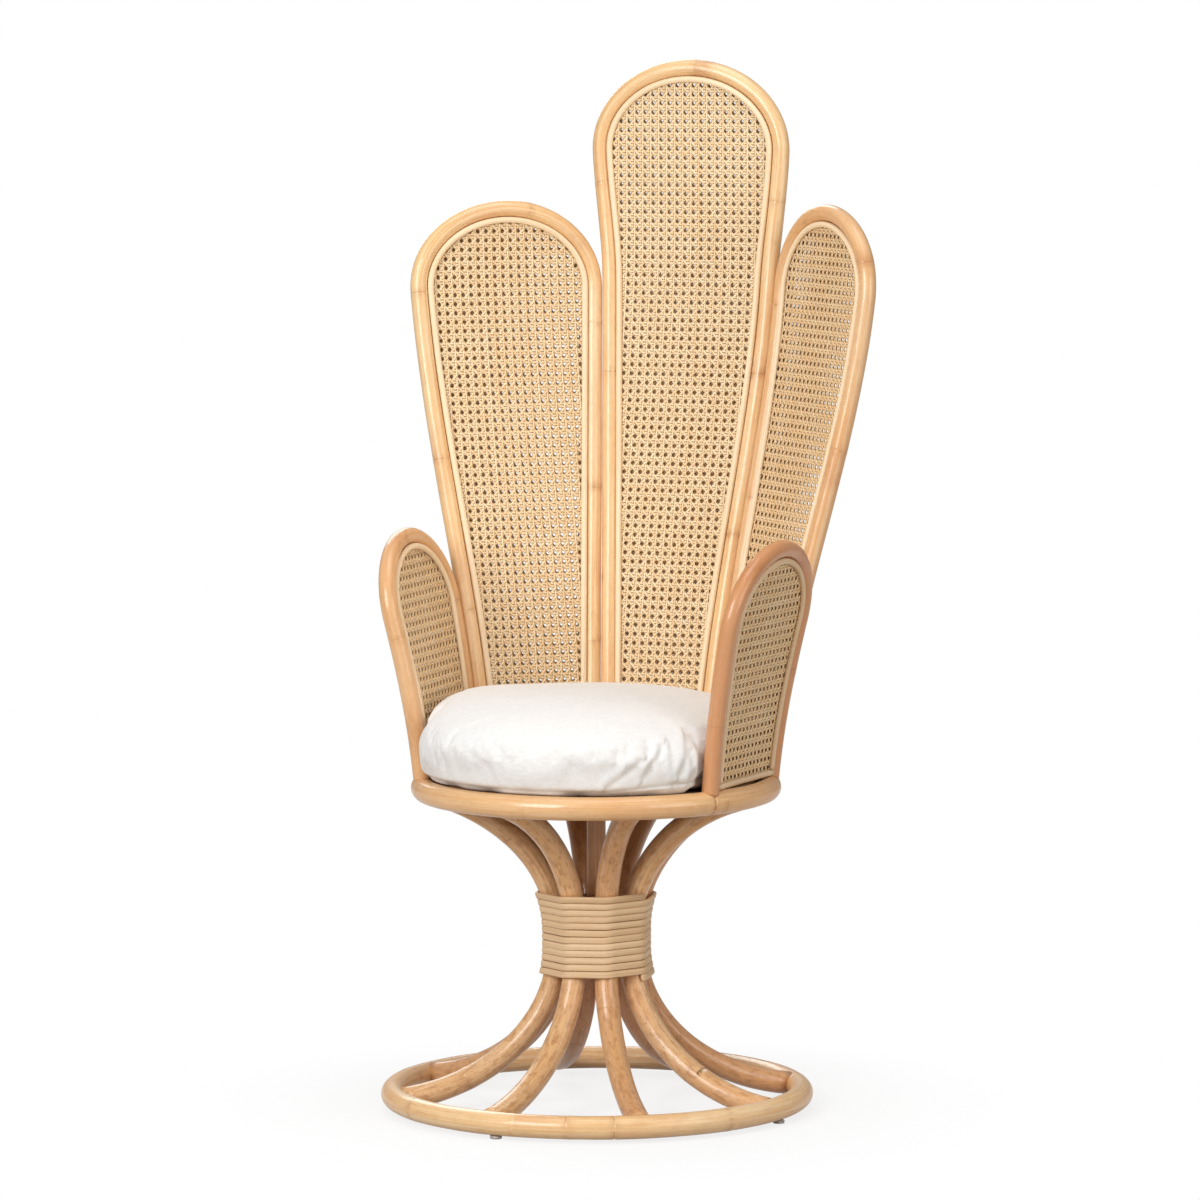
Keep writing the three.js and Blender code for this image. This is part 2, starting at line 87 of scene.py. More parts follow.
SWELL_LOW = 0.87
SWELL_HIGH = 1.13
LEAN_FOOT = math.radians(4)
LEAN_MOST = math.radians(13.4)
LEAN_PEAK = 0.356

MAIN_RADIUS = MAIN_POLE / 2
HOOP_RADIUS = HOOP_POLE / 2
FLOOR_RING_HEIGHT = GLIDE_HEIGHT + CLEARANCE + MAIN_RADIUS
DECK_TOP = SEAT_HEIGHT + MAIN_RADIUS - DECK_DROP
DECK_BOTTOM = DECK_TOP - DECK_THICK
BEAD_LOW = CANE_GAP / 2 + CANE_SHEET + CLEARANCE
TRIM_REACH = BEAD_LOW + BEAD_DEPTH
CANE_MIDDLE = (CANE_GAP + CANE_SHEET) / 2
UP = np.array([0.0, 0.0, 1.0])

# The pedestal's axis, on the floor
ring_low, ring_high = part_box("floor_ring")
AXIS = np.array([(ring_low.x + ring_high.x) / 2, (ring_low.y + ring_high.y) / 2, 0.0])

# Rattan poles
POLE_SIDES = 28
POLE_FULL = 0.99  # of the solid's radius
POLE_SWELLS = ((0.007, 0.31), (0.005, 0.13))  # share of the radius, and length of a wave
POLE_OVAL = 0.008
POLE_GRAIN = 7.3  # how far apart in the grain one pole is from the next
STATION = 0.008
KNOT_SPACING = (0.19, 0.33)
KNOT_STATIONS = np.array([-12, -7, -4, -2.2, -1.1, -0.5, 0, 0.5, 1.1, 2.2, 4, 7, 12]) * MM
KNOT_MARGIN = 0.045
KNOT_SLANT = 0.0022
KNOT_RIDGE = (0.00022, 0.006)  # height, and half length along the pole
KNOT_GROOVE = (0.0002, 0.0008)
JOINT_GROOVE = (0.0008, 0.0009)
MARK_REACH = 0.02

# The winding at the waist
BINDING_STEPS = 8  # round each pole
BINDING_SIDES = 12
BINDING_EASE = 0.0008  # how much further out it lies than its solid
BINDING_WANDER = ((0.00022, 5.1), (0.00015, 17.0))  # height, and pace along the winding
BINDING_POWER = 2 / 3.6  # how square its section is

# Split trim
BEAD_SIDES = 14
BEAD_POWERS = (0.7, 0.85)  # how square its section is, in depth and in width
BEAD_SWELLS = ((0.01, 0.05), (0.01, 0.017))  # share of the width, and pace along the trim

# Cane webbing
CANE_PITCH = np.array([0.0121, 0.0127])  # across and up: half-inch webbing, drawn a little narrow
CANE_PAIR = 0.0039  # between the two strands of a pair
CANE_WIDTH = 0.0033
CANE_DIAGONAL = 0.0039
CANE_THICK = 0.0006
CANE_LEVEL = 0.00025  # how far a pair's strands lie off the layer's middle
CANE_LIFT = 0.0006  # how far a diagonal climbs over and under the pairs
CANE_TUCK = 0.004  # the strands end this far under the trim
CANE_EDGE = 0.3  # how far a strand's edges show its pith
CANE_STRAY = (0.00012, 0.00006)  # how far a strand lies off its place, as a whole and at each bend
CANE_END = 0.001  # no bend nearer than this to a strand's end

# Camera, from a fit to the outline
CAMERA_AZIMUTH = math.radians(22.36)
CAMERA_DISTANCE = 9.0
CAMERA_HEIGHT = 1.600
CAMERA_TARGET = (0.0060, 0.6975)  # right of the axis, and up
CAMERA_ROLL = math.radians(-0.17)
CAMERA_LENS = 199.35


def linear(red, green, blue):
    """An sRGB colour of 0 to 255 as the linear colour that a shader takes."""
    shares = (c / 255 for c in (red, green, blue))
    return (*(c / 12.92 if c <= 0.04045 else ((c + 0.055) / 1.055) ** 2.4 for c in shares), 1.0)


# Node helpers

def new_material(name):
    material = bpy.data.materials.new(name)
    material.use_nodes = True
    return material, material.node_tree, material.node_tree.nodes["Principled BSDF"]


def put(tree, kind, settings=None, **inputs):
    """Adds a node; an input is a value or another node's output, with _ for a space in its name."""
    node = tree.nodes.new(kind)
    for key, value in (settings or {}).items():
        setattr(node, key, value)
    for key, value in inputs.items():
        plug(tree, node.inputs[key.replace("_", " ")], value)
    return node


def plug(tree, socket, value):
    if isinstance(value, bpy.types.NodeSocket):
        tree.links.new(value, socket)
    else:
        socket.default_value = value


def mix(tree, share, first, second):
    """Mixes two colours, each an output or an sRGB colour of 0 to 255."""
    node = put(tree, "ShaderNodeMix", {"data_type": "RGBA"})
    plug(tree, node.inputs[0], share)
    for index, colour in ((6, first), (7, second)):
        plug(tree, node.inputs[index], linear(*colour) if isinstance(colour, tuple) else colour)
    return node.outputs[2]


def mapped(tree, value, low, high, to_low=0.0, to_high=1.0):
    node = put(
        tree, "ShaderNodeMapRange", {"interpolation_type": "SMOOTHSTEP"},
        Value=value, From_Min=low, From_Max=high, To_Min=to_low, To_Max=to_high,
    )
    return node.outputs["Result"]


def calc(tree, operation, *values):
    node = tree.nodes.new("ShaderNodeMath")
    node.operation = operation
    for socket, value in zip(node.inputs, values):
        plug(tree, socket, value)
    return node.outputs[0]


def attribute(tree, name):
    node = put(tree, "ShaderNodeAttribute", {"attribute_name": name})
    return node.outputs["Vector"] if name == "grain" else node.outputs["Fac"]


def noise(tree, where, scale, detail=3.0, roughness=0.55):
    """Noise in a stretched space: scale is per metre along X, Y and Z."""
    moved = put(tree, "ShaderNodeMapping", Vector=where, Scale=scale)
    made = put(
        tree, "ShaderNodeTexNoise",
        Vector=moved.outputs["Vector"], Scale=1.0, Detail=detail, Roughness=roughness,
    )
    return made.outputs["Fac"]


def paint(tree, shader, colour, roughness, **values):
    """Sets the colour and the roughness, and values that are the same all over."""
    plug(tree, shader.inputs["Base Color"], colour)
    plug(tree, shader.inputs["Roughness"], roughness)
    for key, value in values.items():
        shader.inputs[key.replace("_", " ")].default_value = value


def blend(tree, share, first, second, output):
    """Sends a mix of two shaders to an output."""
    node = put(tree, "ShaderNodeMixShader", Fac=share)
    tree.links.new(first.outputs[0], node.inputs[1])
    tree.links.new(second.outputs[0], node.inputs[2])
    tree.links.new(node.outputs[0], output.inputs["Surface"])


def bump(tree, shader, height, distance, strength=1.0):
    node = put(tree, "ShaderNodeBump", Height=height, Distance=distance, Strength=strength)
    tree.links.new(node.outputs["Normal"], shader.inputs["Normal"])


# Materials

def pole_material():
    """Peeled and lacquered rattan: long fibres, warm blotches, freckles, knots and stains, and painted shade
    that deepens some poles and stretches.
    """
    material, tree, shader = new_material("rattan_pole")
    grain = attribute(tree, "grain")
    knot = attribute(tree, "knot")
    fibre = noise(tree, grain, (520, 520, 7), 4.0)
    streak = noise(tree, grain, (140, 140, 2.4))
    blotch = noise(tree, grain, (26, 26, 7))
    cloud = noise(tree, grain, (9, 9, 3), 2.0)
    speck = noise(tree, grain, (700, 700, 190), 2.0)
    fleck = noise(tree, grain, (170, 170, 60))

    colour = mix(tree, mapped(tree, fibre, 0.3, 0.72), (247, 211, 158), (232, 183, 125))
    for field, low, high, most, tint in (
        (streak, 0.52, 0.76, 0.55, (217, 162, 106)),
        (streak, 0.46, 0.3, 0.5, (254, 233, 198)),
        (blotch, 0.5, 0.74, 0.48, (232, 170, 110)),
        (cloud, 0.5, 0.7, 0.4, (251, 224, 186)),
        (cloud, 0.48, 0.3, 0.35, (228, 168, 126)),
    ):
        colour = mix(tree, mapped(tree, field, low, high, 0, most), colour, tint)
    freckle = attribute(tree, "freckle")
    # Tone deepens whole poles, with painted shade on the rear pedestal poles and the centre post; the stain
    # mark holds stains, and painted shade on the floor ring's back.
    for mark, share, tint in (
        (attribute(tree, "tone"), 0.7, (205, 140, 91)),
        (mapped(tree, speck, 0.58, 0.72, 0, 0.5), freckle, (140, 90, 52)),
        (mapped(tree, fleck, 0.46, 0.68, 0, 0.48), freckle, (172, 112, 64)),
        (mapped(tree, fleck, 0.25, 0.6, 0.35, 1.0), attribute(tree, "stain"), (176, 104, 56)),
        (mapped(tree, fleck, 0.3, 0.6), mapped(tree, knot, 0.001, 0.011, 0.24, 0.0), (186, 122, 70)),
        (mapped(tree, fleck, 0.35, 0.6), mapped(tree, knot, 0.0002, 0.0011, 0.42, 0.0), (150, 98, 58)),
    ):
        colour = mix(tree, calc(tree, "MULTIPLY", mark, share), colour, tint)
    paint(tree, shader, colour, mapped(tree, blotch, 0.3, 0.75, 0.34, 0.5),
          Specular_IOR_Level=0.45, Coat_Weight=0.5, Coat_Roughness=0.13)
    bump(tree, shader, fibre, 0.0004, 0.35)
    return material


def strand_material(name, pale, deep, fibre_scale, roughness):
    """Split rattan with its own fibre: each length a little paler or deeper, deeper still on some panels as
    painted shade, and browner on its pith and where shade is painted on it.
    """
    material, tree, shader = new_material(name)
    grain = attribute(tree, "grain")
    fibre = noise(tree, grain, fibre_scale, 3.0)
    cloud = noise(tree, grain, (60, 60, 9), 2.0)
    # The tone holds each length's own depth, plus painted shade on whole cane panels.
    toned = calc(tree, "MULTIPLY", attribute(tree, "tone"), 0.45)
    share = calc(tree, "ADD", mapped(tree, fibre, 0.3, 0.72, 0, 0.55), toned)
    colour = mix(tree, share, pale, deep)
    colour = mix(tree, mapped(tree, cloud, 0.55, 0.75, 0, 0.4), colour, deep)
    # Browns the pith side of the cane, partly as painted shade in the hollow, and the right arm's outer trim
    # with painted shade.
    colour = mix(tree, attribute(tree, "pith"), colour, (158, 106, 58))
    worn = mapped(tree, cloud, 0.3, 0.7, roughness - 0.06, roughness + 0.08)
    paint(tree, shader, colour, worn, Specular_IOR_Level=0.4)
    bump(tree, shader, fibre, 0.0003, 0.3)
    return material


def wood_material():
    """Plain sawn wood, hidden under the seat and inside the waist."""
    material, tree, shader = new_material("inner_wood")
    where = put(tree, "ShaderNodeTexCoord").outputs["Object"]
    figure = noise(tree, where, (60, 5, 60), 4.0)
    pore = noise(tree, where, (500, 30, 500))
    colour = mix(tree, mapped(tree, figure, 0.35, 0.7), (136, 98, 62), (98, 68, 42))
    colour = mix(tree, mapped(tree, pore, 0.6, 0.75, 0, 0.5), colour, (66, 44, 28))
    paint(tree, shader, colour, mapped(tree, pore, 0.3, 0.7, 0.55, 0.75))
    bump(tree, shader, pore, 0.0004, 0.3)
    return material


def cloth_material():
    """Thick washed cotton: a fine plain weave, slubs, soft creases and painted shade along the sewn seam."""
    material, tree, shader = new_material("cushion_cotton")
    where = put(tree, "ShaderNodeTexCoord").outputs["Object"]
    slub = noise(tree, where, (900, 60, 300))
    cross = noise(tree, where, (60, 900, 300))
    cloud = noise(tree, where, (14, 14, 14))
    rumple = noise(tree, where, (38, 38, 46), roughness=0.5)
    thread = calc(tree, "ADD", slub, cross)
    colour = mix(tree, mapped(tree, thread, 0.8, 1.2), (230, 229, 228), (239, 238, 237))
    colour = mix(tree, mapped(tree, cloud, 0.45, 0.7, 0, 0.3), colour, (229, 227, 224))
    # The seam's darker line is painted shade in its groove.
    seam_shade = attribute(tree, "seam_shade")
    colour = mix(tree, calc(tree, "MULTIPLY", seam_shade, 0.45), colour, (176, 168, 156))
    paint(tree, shader, colour, mapped(tree, thread, 0.7, 1.3, 0.8, 0.95),
          Sheen_Weight=0.25, Sheen_Roughness=0.5, Specular_IOR_Level=0.25)
    height = calc(tree, "ADD", calc(tree, "MULTIPLY", thread, 0.12), rumple)
    bump(tree, shader, height, 0.003, 0.3)
    return material


def glide_material():
    """Grey moulded plastic, a little scuffed."""
    material, tree, shader = new_material("glide_plastic")
    where = put(tree, "ShaderNodeTexCoord").outputs["Object"]
    scuff = noise(tree, where, (300, 300, 300), 4.0)
    colour = mix(tree, mapped(tree, scuff, 0.35, 0.7), (196, 192, 188), (160, 154, 150))
    paint(tree, shader, colour, mapped(tree, scuff, 0.3, 0.7, 0.4, 0.6))
    bump(tree, shader, scuff, 0.0003, 0.3)
    return material


POLE = pole_material()
BEAD = strand_material("rattan_bead", (252, 231, 198), (238, 205, 161), (420, 420, 5), 0.48)
CANE = strand_material("cane_webbing", (255, 236, 200), (243, 202, 148), (900, 900, 12), 0.45)
BINDING = strand_material("rattan_binding", (238, 210, 172), (212, 174, 131), (500, 500, 6), 0.5)
WOOD = wood_material()
COTTON = cloth_material()
GLIDE = glide_material()


# Meshes

def show(name, data):
    made = bpy.data.objects.new(name, data)
    bpy.context.scene.collection.objects.link(made)
    return made


def piece(name, points, faces, material, slot, node, **marks):
    """A smooth mesh that rides the chair and stands for one of its solids, with marks on its points."""
    mesh = bpy.data.meshes.new(name)
    mesh.from_pydata((np.reshape(points, (-1, 3)) + AXIS).tolist(), [], faces)
    for mark, values in marks.items():
        kind, field = ("FLOAT_VECTOR", "vector") if mark == "grain" else ("FLOAT", "value")
        data = mesh.attributes.new(mark, kind, "POINT").data
        data.foreach_set(field, np.ascontiguousarray(values, np.float32).ravel())
    mesh.shade_smooth()
    mesh.materials.append(material)
    made = show(name, mesh)
    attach(made, "chair")
    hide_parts(node)


def skin(count, sides, closed=False, first=0):
    """Faces over count rings of points, with a cap on each end of an open one."""
    rows = np.arange(count if closed else count - 1)[:, None]
    here, ahead = rows * sides, (rows + 1) % count * sides
    j = np.arange(sides)
    k = (j + 1) % sides
    quads = np.stack([here + j, here + k, ahead + k, ahead + j], axis=-1).reshape(-1, 4) + first
    caps = [] if closed else [list(first + j[::-1]), list(first + (count - 1) * sides + j)]
    return quads.tolist() + [[int(i) for i in cap] for cap in caps]


def grain_of(shape, run):
    """Where a swept section lies in its own grain: its two axes, and the run along it."""
    size = (len(run), len(shape))
    along = np.broadcast_to(run[:, None, None], (*size, 1))
    return np.concatenate([np.broadcast_to(shape, (*size, 2)), along], axis=-1)


class Bundle:
    """Swept lengths gathered into one piece, each with its grain and its tone."""

    def __init__(self):
        self.points, self.faces, self.grain, self.tone = [], [], [], []
        self.count = 0

    def add(self, rings, shape, run, tone):
        size = len(rings) * len(shape)
        self.faces += skin(len(rings), len(shape), first=self.count)
        self.count += size
        self.points.append(rings.reshape(-1, 3))
        self.grain.append(grain_of(shape, run).reshape(-1, 3))
        self.tone.append(np.full(size, tone))

    def finish(self, name, material, slot, node, pith):
        piece(name, np.concatenate(self.points), self.faces, material, slot, node,
              grain=np.concatenate(self.grain), tone=np.concatenate(self.tone), pith=pith)


def full_turn(steps):
    return np.linspace(0, 2 * math.pi, steps, endpoint=False)


def lathe(reach, height, steps):
    """Rings of a profile turned round the axis, from the front to the right."""
    turn = full_turn(steps)
    out, up = np.array(reach)[:, None], np.array(height)[:, None]
    return np.stack([out * np.sin(turn), -out * np.cos(turn), np.broadcast_to(up, (len(up), steps))], axis=-1)


def off_axis(points):
    return np.hypot(points[..., 0], points[..., 1])


def rounded(values, power):
    return np.sign(values) * np.abs(values) ** power


def ramp(values, low, high):
    """A soft step from 0 to 1 between two values."""
    share = np.clip((values - low) / (high - low), 0, 1)
    return share * share * (3 - 2 * share)


def unit(vectors):
    return vectors / np.linalg.norm(vectors, axis=-1, keepdims=True)


def sweep(path, side, section, closed=False):
    """Rings of a section, or of one for each point, square to a path: its first axis is along side."""
    if closed:
        ahead = np.roll(path, -1, 0) - np.roll(path, 1, 0)
    else:
        ahead = np.gradient(path, axis=0)
    ahead = unit(ahead)
    first = unit(side - np.sum(side * ahead, axis=1, keepdims=True) * ahead)
    second = np.cross(ahead, first)
    return path[:, None] + section[..., :1] * first[:, None] + section[..., 1:] * second[:, None]


def lengths(path):
    steps = np.linalg.norm(np.diff(path, axis=0), axis=1)
    return np.concatenate([[0.0], np.cumsum(steps)])


def spread_knots(rng, total):
    """Knots at the uneven spacing of a grown pole."""
    places = [rng.uniform(KNOT_MARGIN, KNOT_SPACING[1])]
    while places[-1] < total - KNOT_MARGIN:
        places.append(places[-1] + rng.uniform(*KNOT_SPACING))
    return np.array(places[:-1])


def cope(rings, ring, height):
    """Cuts the start of a tube to the round of a ring. Each point holds its place and its marks."""
    gap = np.hypot(off_axis(rings) - ring, rings[..., 2] - height) - MAIN_RADIUS
    sides = np.arange(rings.shape[1])
    reach = len(rings) // 3
    inside = gap[:reach] < 0
    last = np.where(inside.any(axis=0), reach - 1 - np.argmax(inside[::-1], axis=0), 0)
    near, far = np.minimum(gap[last, sides], 0), gap[last + 1, sides]
    share = (near / (near - far))[:, None]
    cut = rings[last, sides] * (1 - share) + rings[last + 1, sides] * share
    return np.concatenate([cut[None], rings[last.max() + 1:]])


def hump(distance, size):
    height, half_length = size
    return height * np.exp(-((distance / half_length) ** 2))


def rattan(name, node, path, side, radius, seed, tone, closed=False, copes=(), ceiling=None,
           knots=None, joint=None, stains=(), spots=(), freckle=0.25):
    """A grown pole along a path: it swells and narrows a little, with a ridge and a line at each knot."""
    rng = np.random.default_rng(seed)
    at = lengths(path)
    total = at[-1]
    knots = spread_knots(rng, total) if knots is None else np.array(knots) * total
    marks = np.append(knots, joint * total) if joint is not None else knots
    stops = np.linspace(0, total, max(4, round(total / STATION)) + 1)
    near = (marks[:, None] + KNOT_STATIONS).ravel()
    clear = np.abs(stops[:, None] - marks).min(axis=1) > KNOT_STATIONS[-1] if len(marks) else stops > -1
    stops = np.unique(np.concatenate([stops[clear], near[(near > 0) & (near < total)], [0, total]]))
    if closed:
        stops = stops[:-1]
    middle = np.stack([np.interp(stops, at, path[:, i]) for i in range(3)], axis=1)
    turn = full_turn(POLE_SIDES)
    circle = np.stack([np.cos(turn), np.sin(turn)], axis=-1)

    phases = rng.uniform(0, 2 * math.pi, 4)
    swell = sum(h * np.sin(2 * math.pi * stops / wave + p) for (h, wave), p in zip(POLE_SWELLS, phases))
    oval = POLE_OVAL * np.cos(2 * turn + phases[2])
    section = radius * (POLE_FULL + swell[:, None] + oval)
    distance = np.full(section.shape, MARK_REACH)
    for place in marks:
        slant = rng.uniform(0, KNOT_SLANT) * np.cos(turn - rng.uniform(0, 2 * math.pi))
        off = stops[:, None] - place - slant
        distance = np.minimum(distance, np.abs(off))
        jointed = joint is not None and place == marks[-1]
        section = section - hump(off, JOINT_GROOVE if jointed else KNOT_GROOVE)
        if not jointed:
            section = section + hump(off - KNOT_RIDGE[1] / 2, KNOT_RIDGE)
    points = sweep(middle, side, section[..., None] * circle, closed)
    if ceiling is not None:
        points[..., 2] = np.minimum(points[..., 2], ceiling)

    grain = grain_of(radius * circle, stops + POLE_GRAIN * seed)
    # Stains and spots along the pole, and painted shade on a stretch of it.
    stain = np.zeros(section.shape)
    for share, reach, power in stains:
        stain += power * hump(stops - share * total, (1, reach))[:, None]
    for share, reach, facing in spots:
        beside = radius * np.sin((turn - math.radians(facing)) / 2) * 2
        off = np.hypot((stops - share * total)[:, None], beside)
        stain += hump(off, (1, reach))
    rings = np.concatenate([points, grain, distance[..., None], stain[..., None]], axis=-1)
    for end, (ring, height) in copes:
        turned = cope(rings if end == 0 else rings[::-1], ring, height)
        rings = turned if end == 0 else turned[::-1]
    faces = skin(len(rings), POLE_SIDES, closed)
    constant = np.ones(rings.shape[:2])
    piece(
        name, rings[..., :3], faces, POLE, "rattan_pole", node,
        grain=rings[..., 3:6], knot=rings[..., 6], stain=rings[..., 7],
        tone=constant * tone, freckle=constant * freckle,
    )


# Rings and pedestal

def circle_path(radius, height):
    turn = np.linspace(0, 2 * math.pi, 4001)
    return np.stack([radius * np.sin(turn), -radius * np.cos(turn), np.full_like(turn, height)], axis=1)


FLOOR = (FLOOR_RING, FLOOR_RING_HEIGHT)
SEAT = (SEAT_RING, SEAT_HEIGHT)


def build_rings():
    # The floor ring's back is deepened with painted shade under the seat; the seat ring's stain is a dark
    # line at its joint.
    rattan("pole_floor_ring", "floor_ring", circle_path(*FLOOR), UP, MAIN_RADIUS, 3,
           closed=True, joint=0.075, tone=0.0, stains=((0.5, 0.3, 0.2),))
    rattan("pole_seat_ring", "seat_ring", circle_path(*SEAT), UP, MAIN_RADIUS, 5,
           closed=True, joint=0.171, tone=0.42, stains=((0.171, 0.0018, 0.7),))


def flare(ring, reach, sweep_angle):
    """The quarter ellipse from the waist out to a ring: how far out, how high, and where it is cut."""
    out = (ring - WAIST_RADIUS) / (1 - math.cos(sweep_angle))
    end = math.acos(1 - (ring - END_SHORT - WAIST_RADIUS) / out)
    return out, reach / math.sin(sweep_angle), end


FOOT = flare(FLOOR_RING, WAIST_LOW - FLOOR_RING_HEIGHT, FOOT_SWEEP)
HEAD = flare(SEAT_RING, SEAT_HEIGHT - WAIST_HIGH, HEAD_SWEEP)


def pedestal_path(turn):
    foot = np.linspace(FOOT[2], 0, 900)
    head = np.linspace(0, HEAD[2], 900)
    out = np.concatenate([WAIST_RADIUS + FOOT[0] * (1 - np.cos(foot)),
                          WAIST_RADIUS + HEAD[0] * (1 - np.cos(head))])
    up = np.concatenate([WAIST_LOW - FOOT[1] * np.sin(foot), WAIST_HIGH + HEAD[1] * np.sin(head)])
    return np.stack([out * math.cos(turn), out * math.sin(turn), up], axis=1)


# How deep in colour each pedestal pole is, round from the right: the deep rear and left poles are painted
# shade under the seat.
PEDESTAL_TONES_AND_SHADE = (0.4, 0.95, 0.95, 0.95, 0.9, 0.45, 0.4, 0.75)


def build_pedestal():
    for i in range(POLE_COUNT):
        turn = POLE_TURN + 2 * math.pi * i / POLE_COUNT
        side = np.array([-math.sin(turn), math.cos(turn), 0.0])
        rattan(
            f"pole_pedestal_{i + 1}", f"pedestal_pole_{i + 1}", pedestal_path(turn), side, MAIN_RADIUS,
            20 + i, copes=((0, FLOOR), (1, SEAT)), ceiling=DECK_BOTTOM - CLEARANCE,
            freckle=1.0, tone=PEDESTAL_TONES_AND_SHADE[i],
        )
    low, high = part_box("centre_post")
    post = np.linspace([0, 0, low.z], [0, 0, high.z], 200)
    # The centre post is painted deep as shade inside the ring of poles.
    rattan("pole_centre_post", "centre_post", post, np.array([1.0, 0, 0]), POST_POLE / 2, 31, tone=1.0)


def pole_distance(height):
    """Distance of the bound poles from the axis at a height, and the slope of that."""
    if height < WAIST_LOW:
        (out, rise, _), past, sign = FOOT, WAIST_LOW - height, -1
    else:
        (out, rise, _), past, sign = HEAD, max(0.0, height - WAIST_HIGH), 1
    angle = math.asin(past / rise)
    return WAIST_RADIUS + out * (1 - math.cos(angle)), sign * out * math.tan(angle) / rise


def build_binding():
    """One strand wound round the poles: it bends over each pole and runs straight to the next."""
    bends = np.linspace(-math.pi / POLE_COUNT, math.pi / POLE_COUNT, BINDING_STEPS)
    off = MAIN_RADIUS + CLEARANCE + BINDING_THICK / 2 + BINDING_EASE
    start = BINDING_MIDDLE - BINDING_TURNS * BINDING_PITCH / 2
    path, out = [], []
    for i in range(BINDING_TURNS * POLE_COUNT * BINDING_STEPS + 1):
        pole, step = divmod(i, BINDING_STEPS)
        share = (pole + step / BINDING_STEPS) / POLE_COUNT
        wander = sum(far * math.sin(pace * share) for far, pace in BINDING_WANDER)
        height = start + BINDING_PITCH * share + wander
        radius, slope = pole_distance(height)
        steep = math.hypot(1, slope)
        turn = POLE_TURN + 2 * math.pi * pole / POLE_COUNT
        cos, sin = math.cos(turn), math.sin(turn)
        lean = bends[step]
        x, y = radius + off * steep * math.cos(lean), off * math.sin(lean)
        path.append([x * cos - y * sin, x * sin + y * cos, height])
        out.append([math.cos(lean + turn) / steep, math.sin(lean + turn) / steep, -slope / steep])
    angle = full_turn(BINDING_SIDES)
    shape = np.stack([
        BINDING_THICK / 2 * rounded(np.cos(angle), BINDING_POWER),
        BINDING_FULL / 2 * rounded(np.sin(angle), BINDING_POWER),
    ], axis=-1)
    path = np.array(path)
    rings = sweep(path, np.array(out), shape)
    at = lengths(path)
    tone = 0.5 + 0.4 * np.sin(at * 3.7) * np.sin(at * 1.3 + 1)
    piece("wound_waist", rings, skin(len(path), BINDING_SIDES), BINDING, "rattan_binding", "waist_binding",
          grain=grain_of(shape, at), tone=np.repeat(tone, BINDING_SIDES))


# Hoops

def lean_at(rise):
    """How far the curve that all hoops share leans out of the upright, at a rise along it."""
    return np.maximum(0, LEAN_MOST - (LEAN_MOST - LEAN_FOOT) * (rise / LEAN_PEAK - 1) ** 2)


CROWN_PASSES = 30
CURVE_STEP = 0.0005
CURVE_STEPS = 2200
CURVE_RISE = np.arange(CURVE_STEPS + 1) * CURVE_STEP
CURVE_LEAN = lean_at(CURVE_RISE[1:] - CURVE_STEP / 2)
CURVE_OUT = np.concatenate([[0.0], np.cumsum(CURVE_STEP * np.sin(CURVE_LEAN))])
CURVE_UP = np.concatenate([[0.0], np.cumsum(CURVE_STEP * np.cos(CURVE_LEAN))])


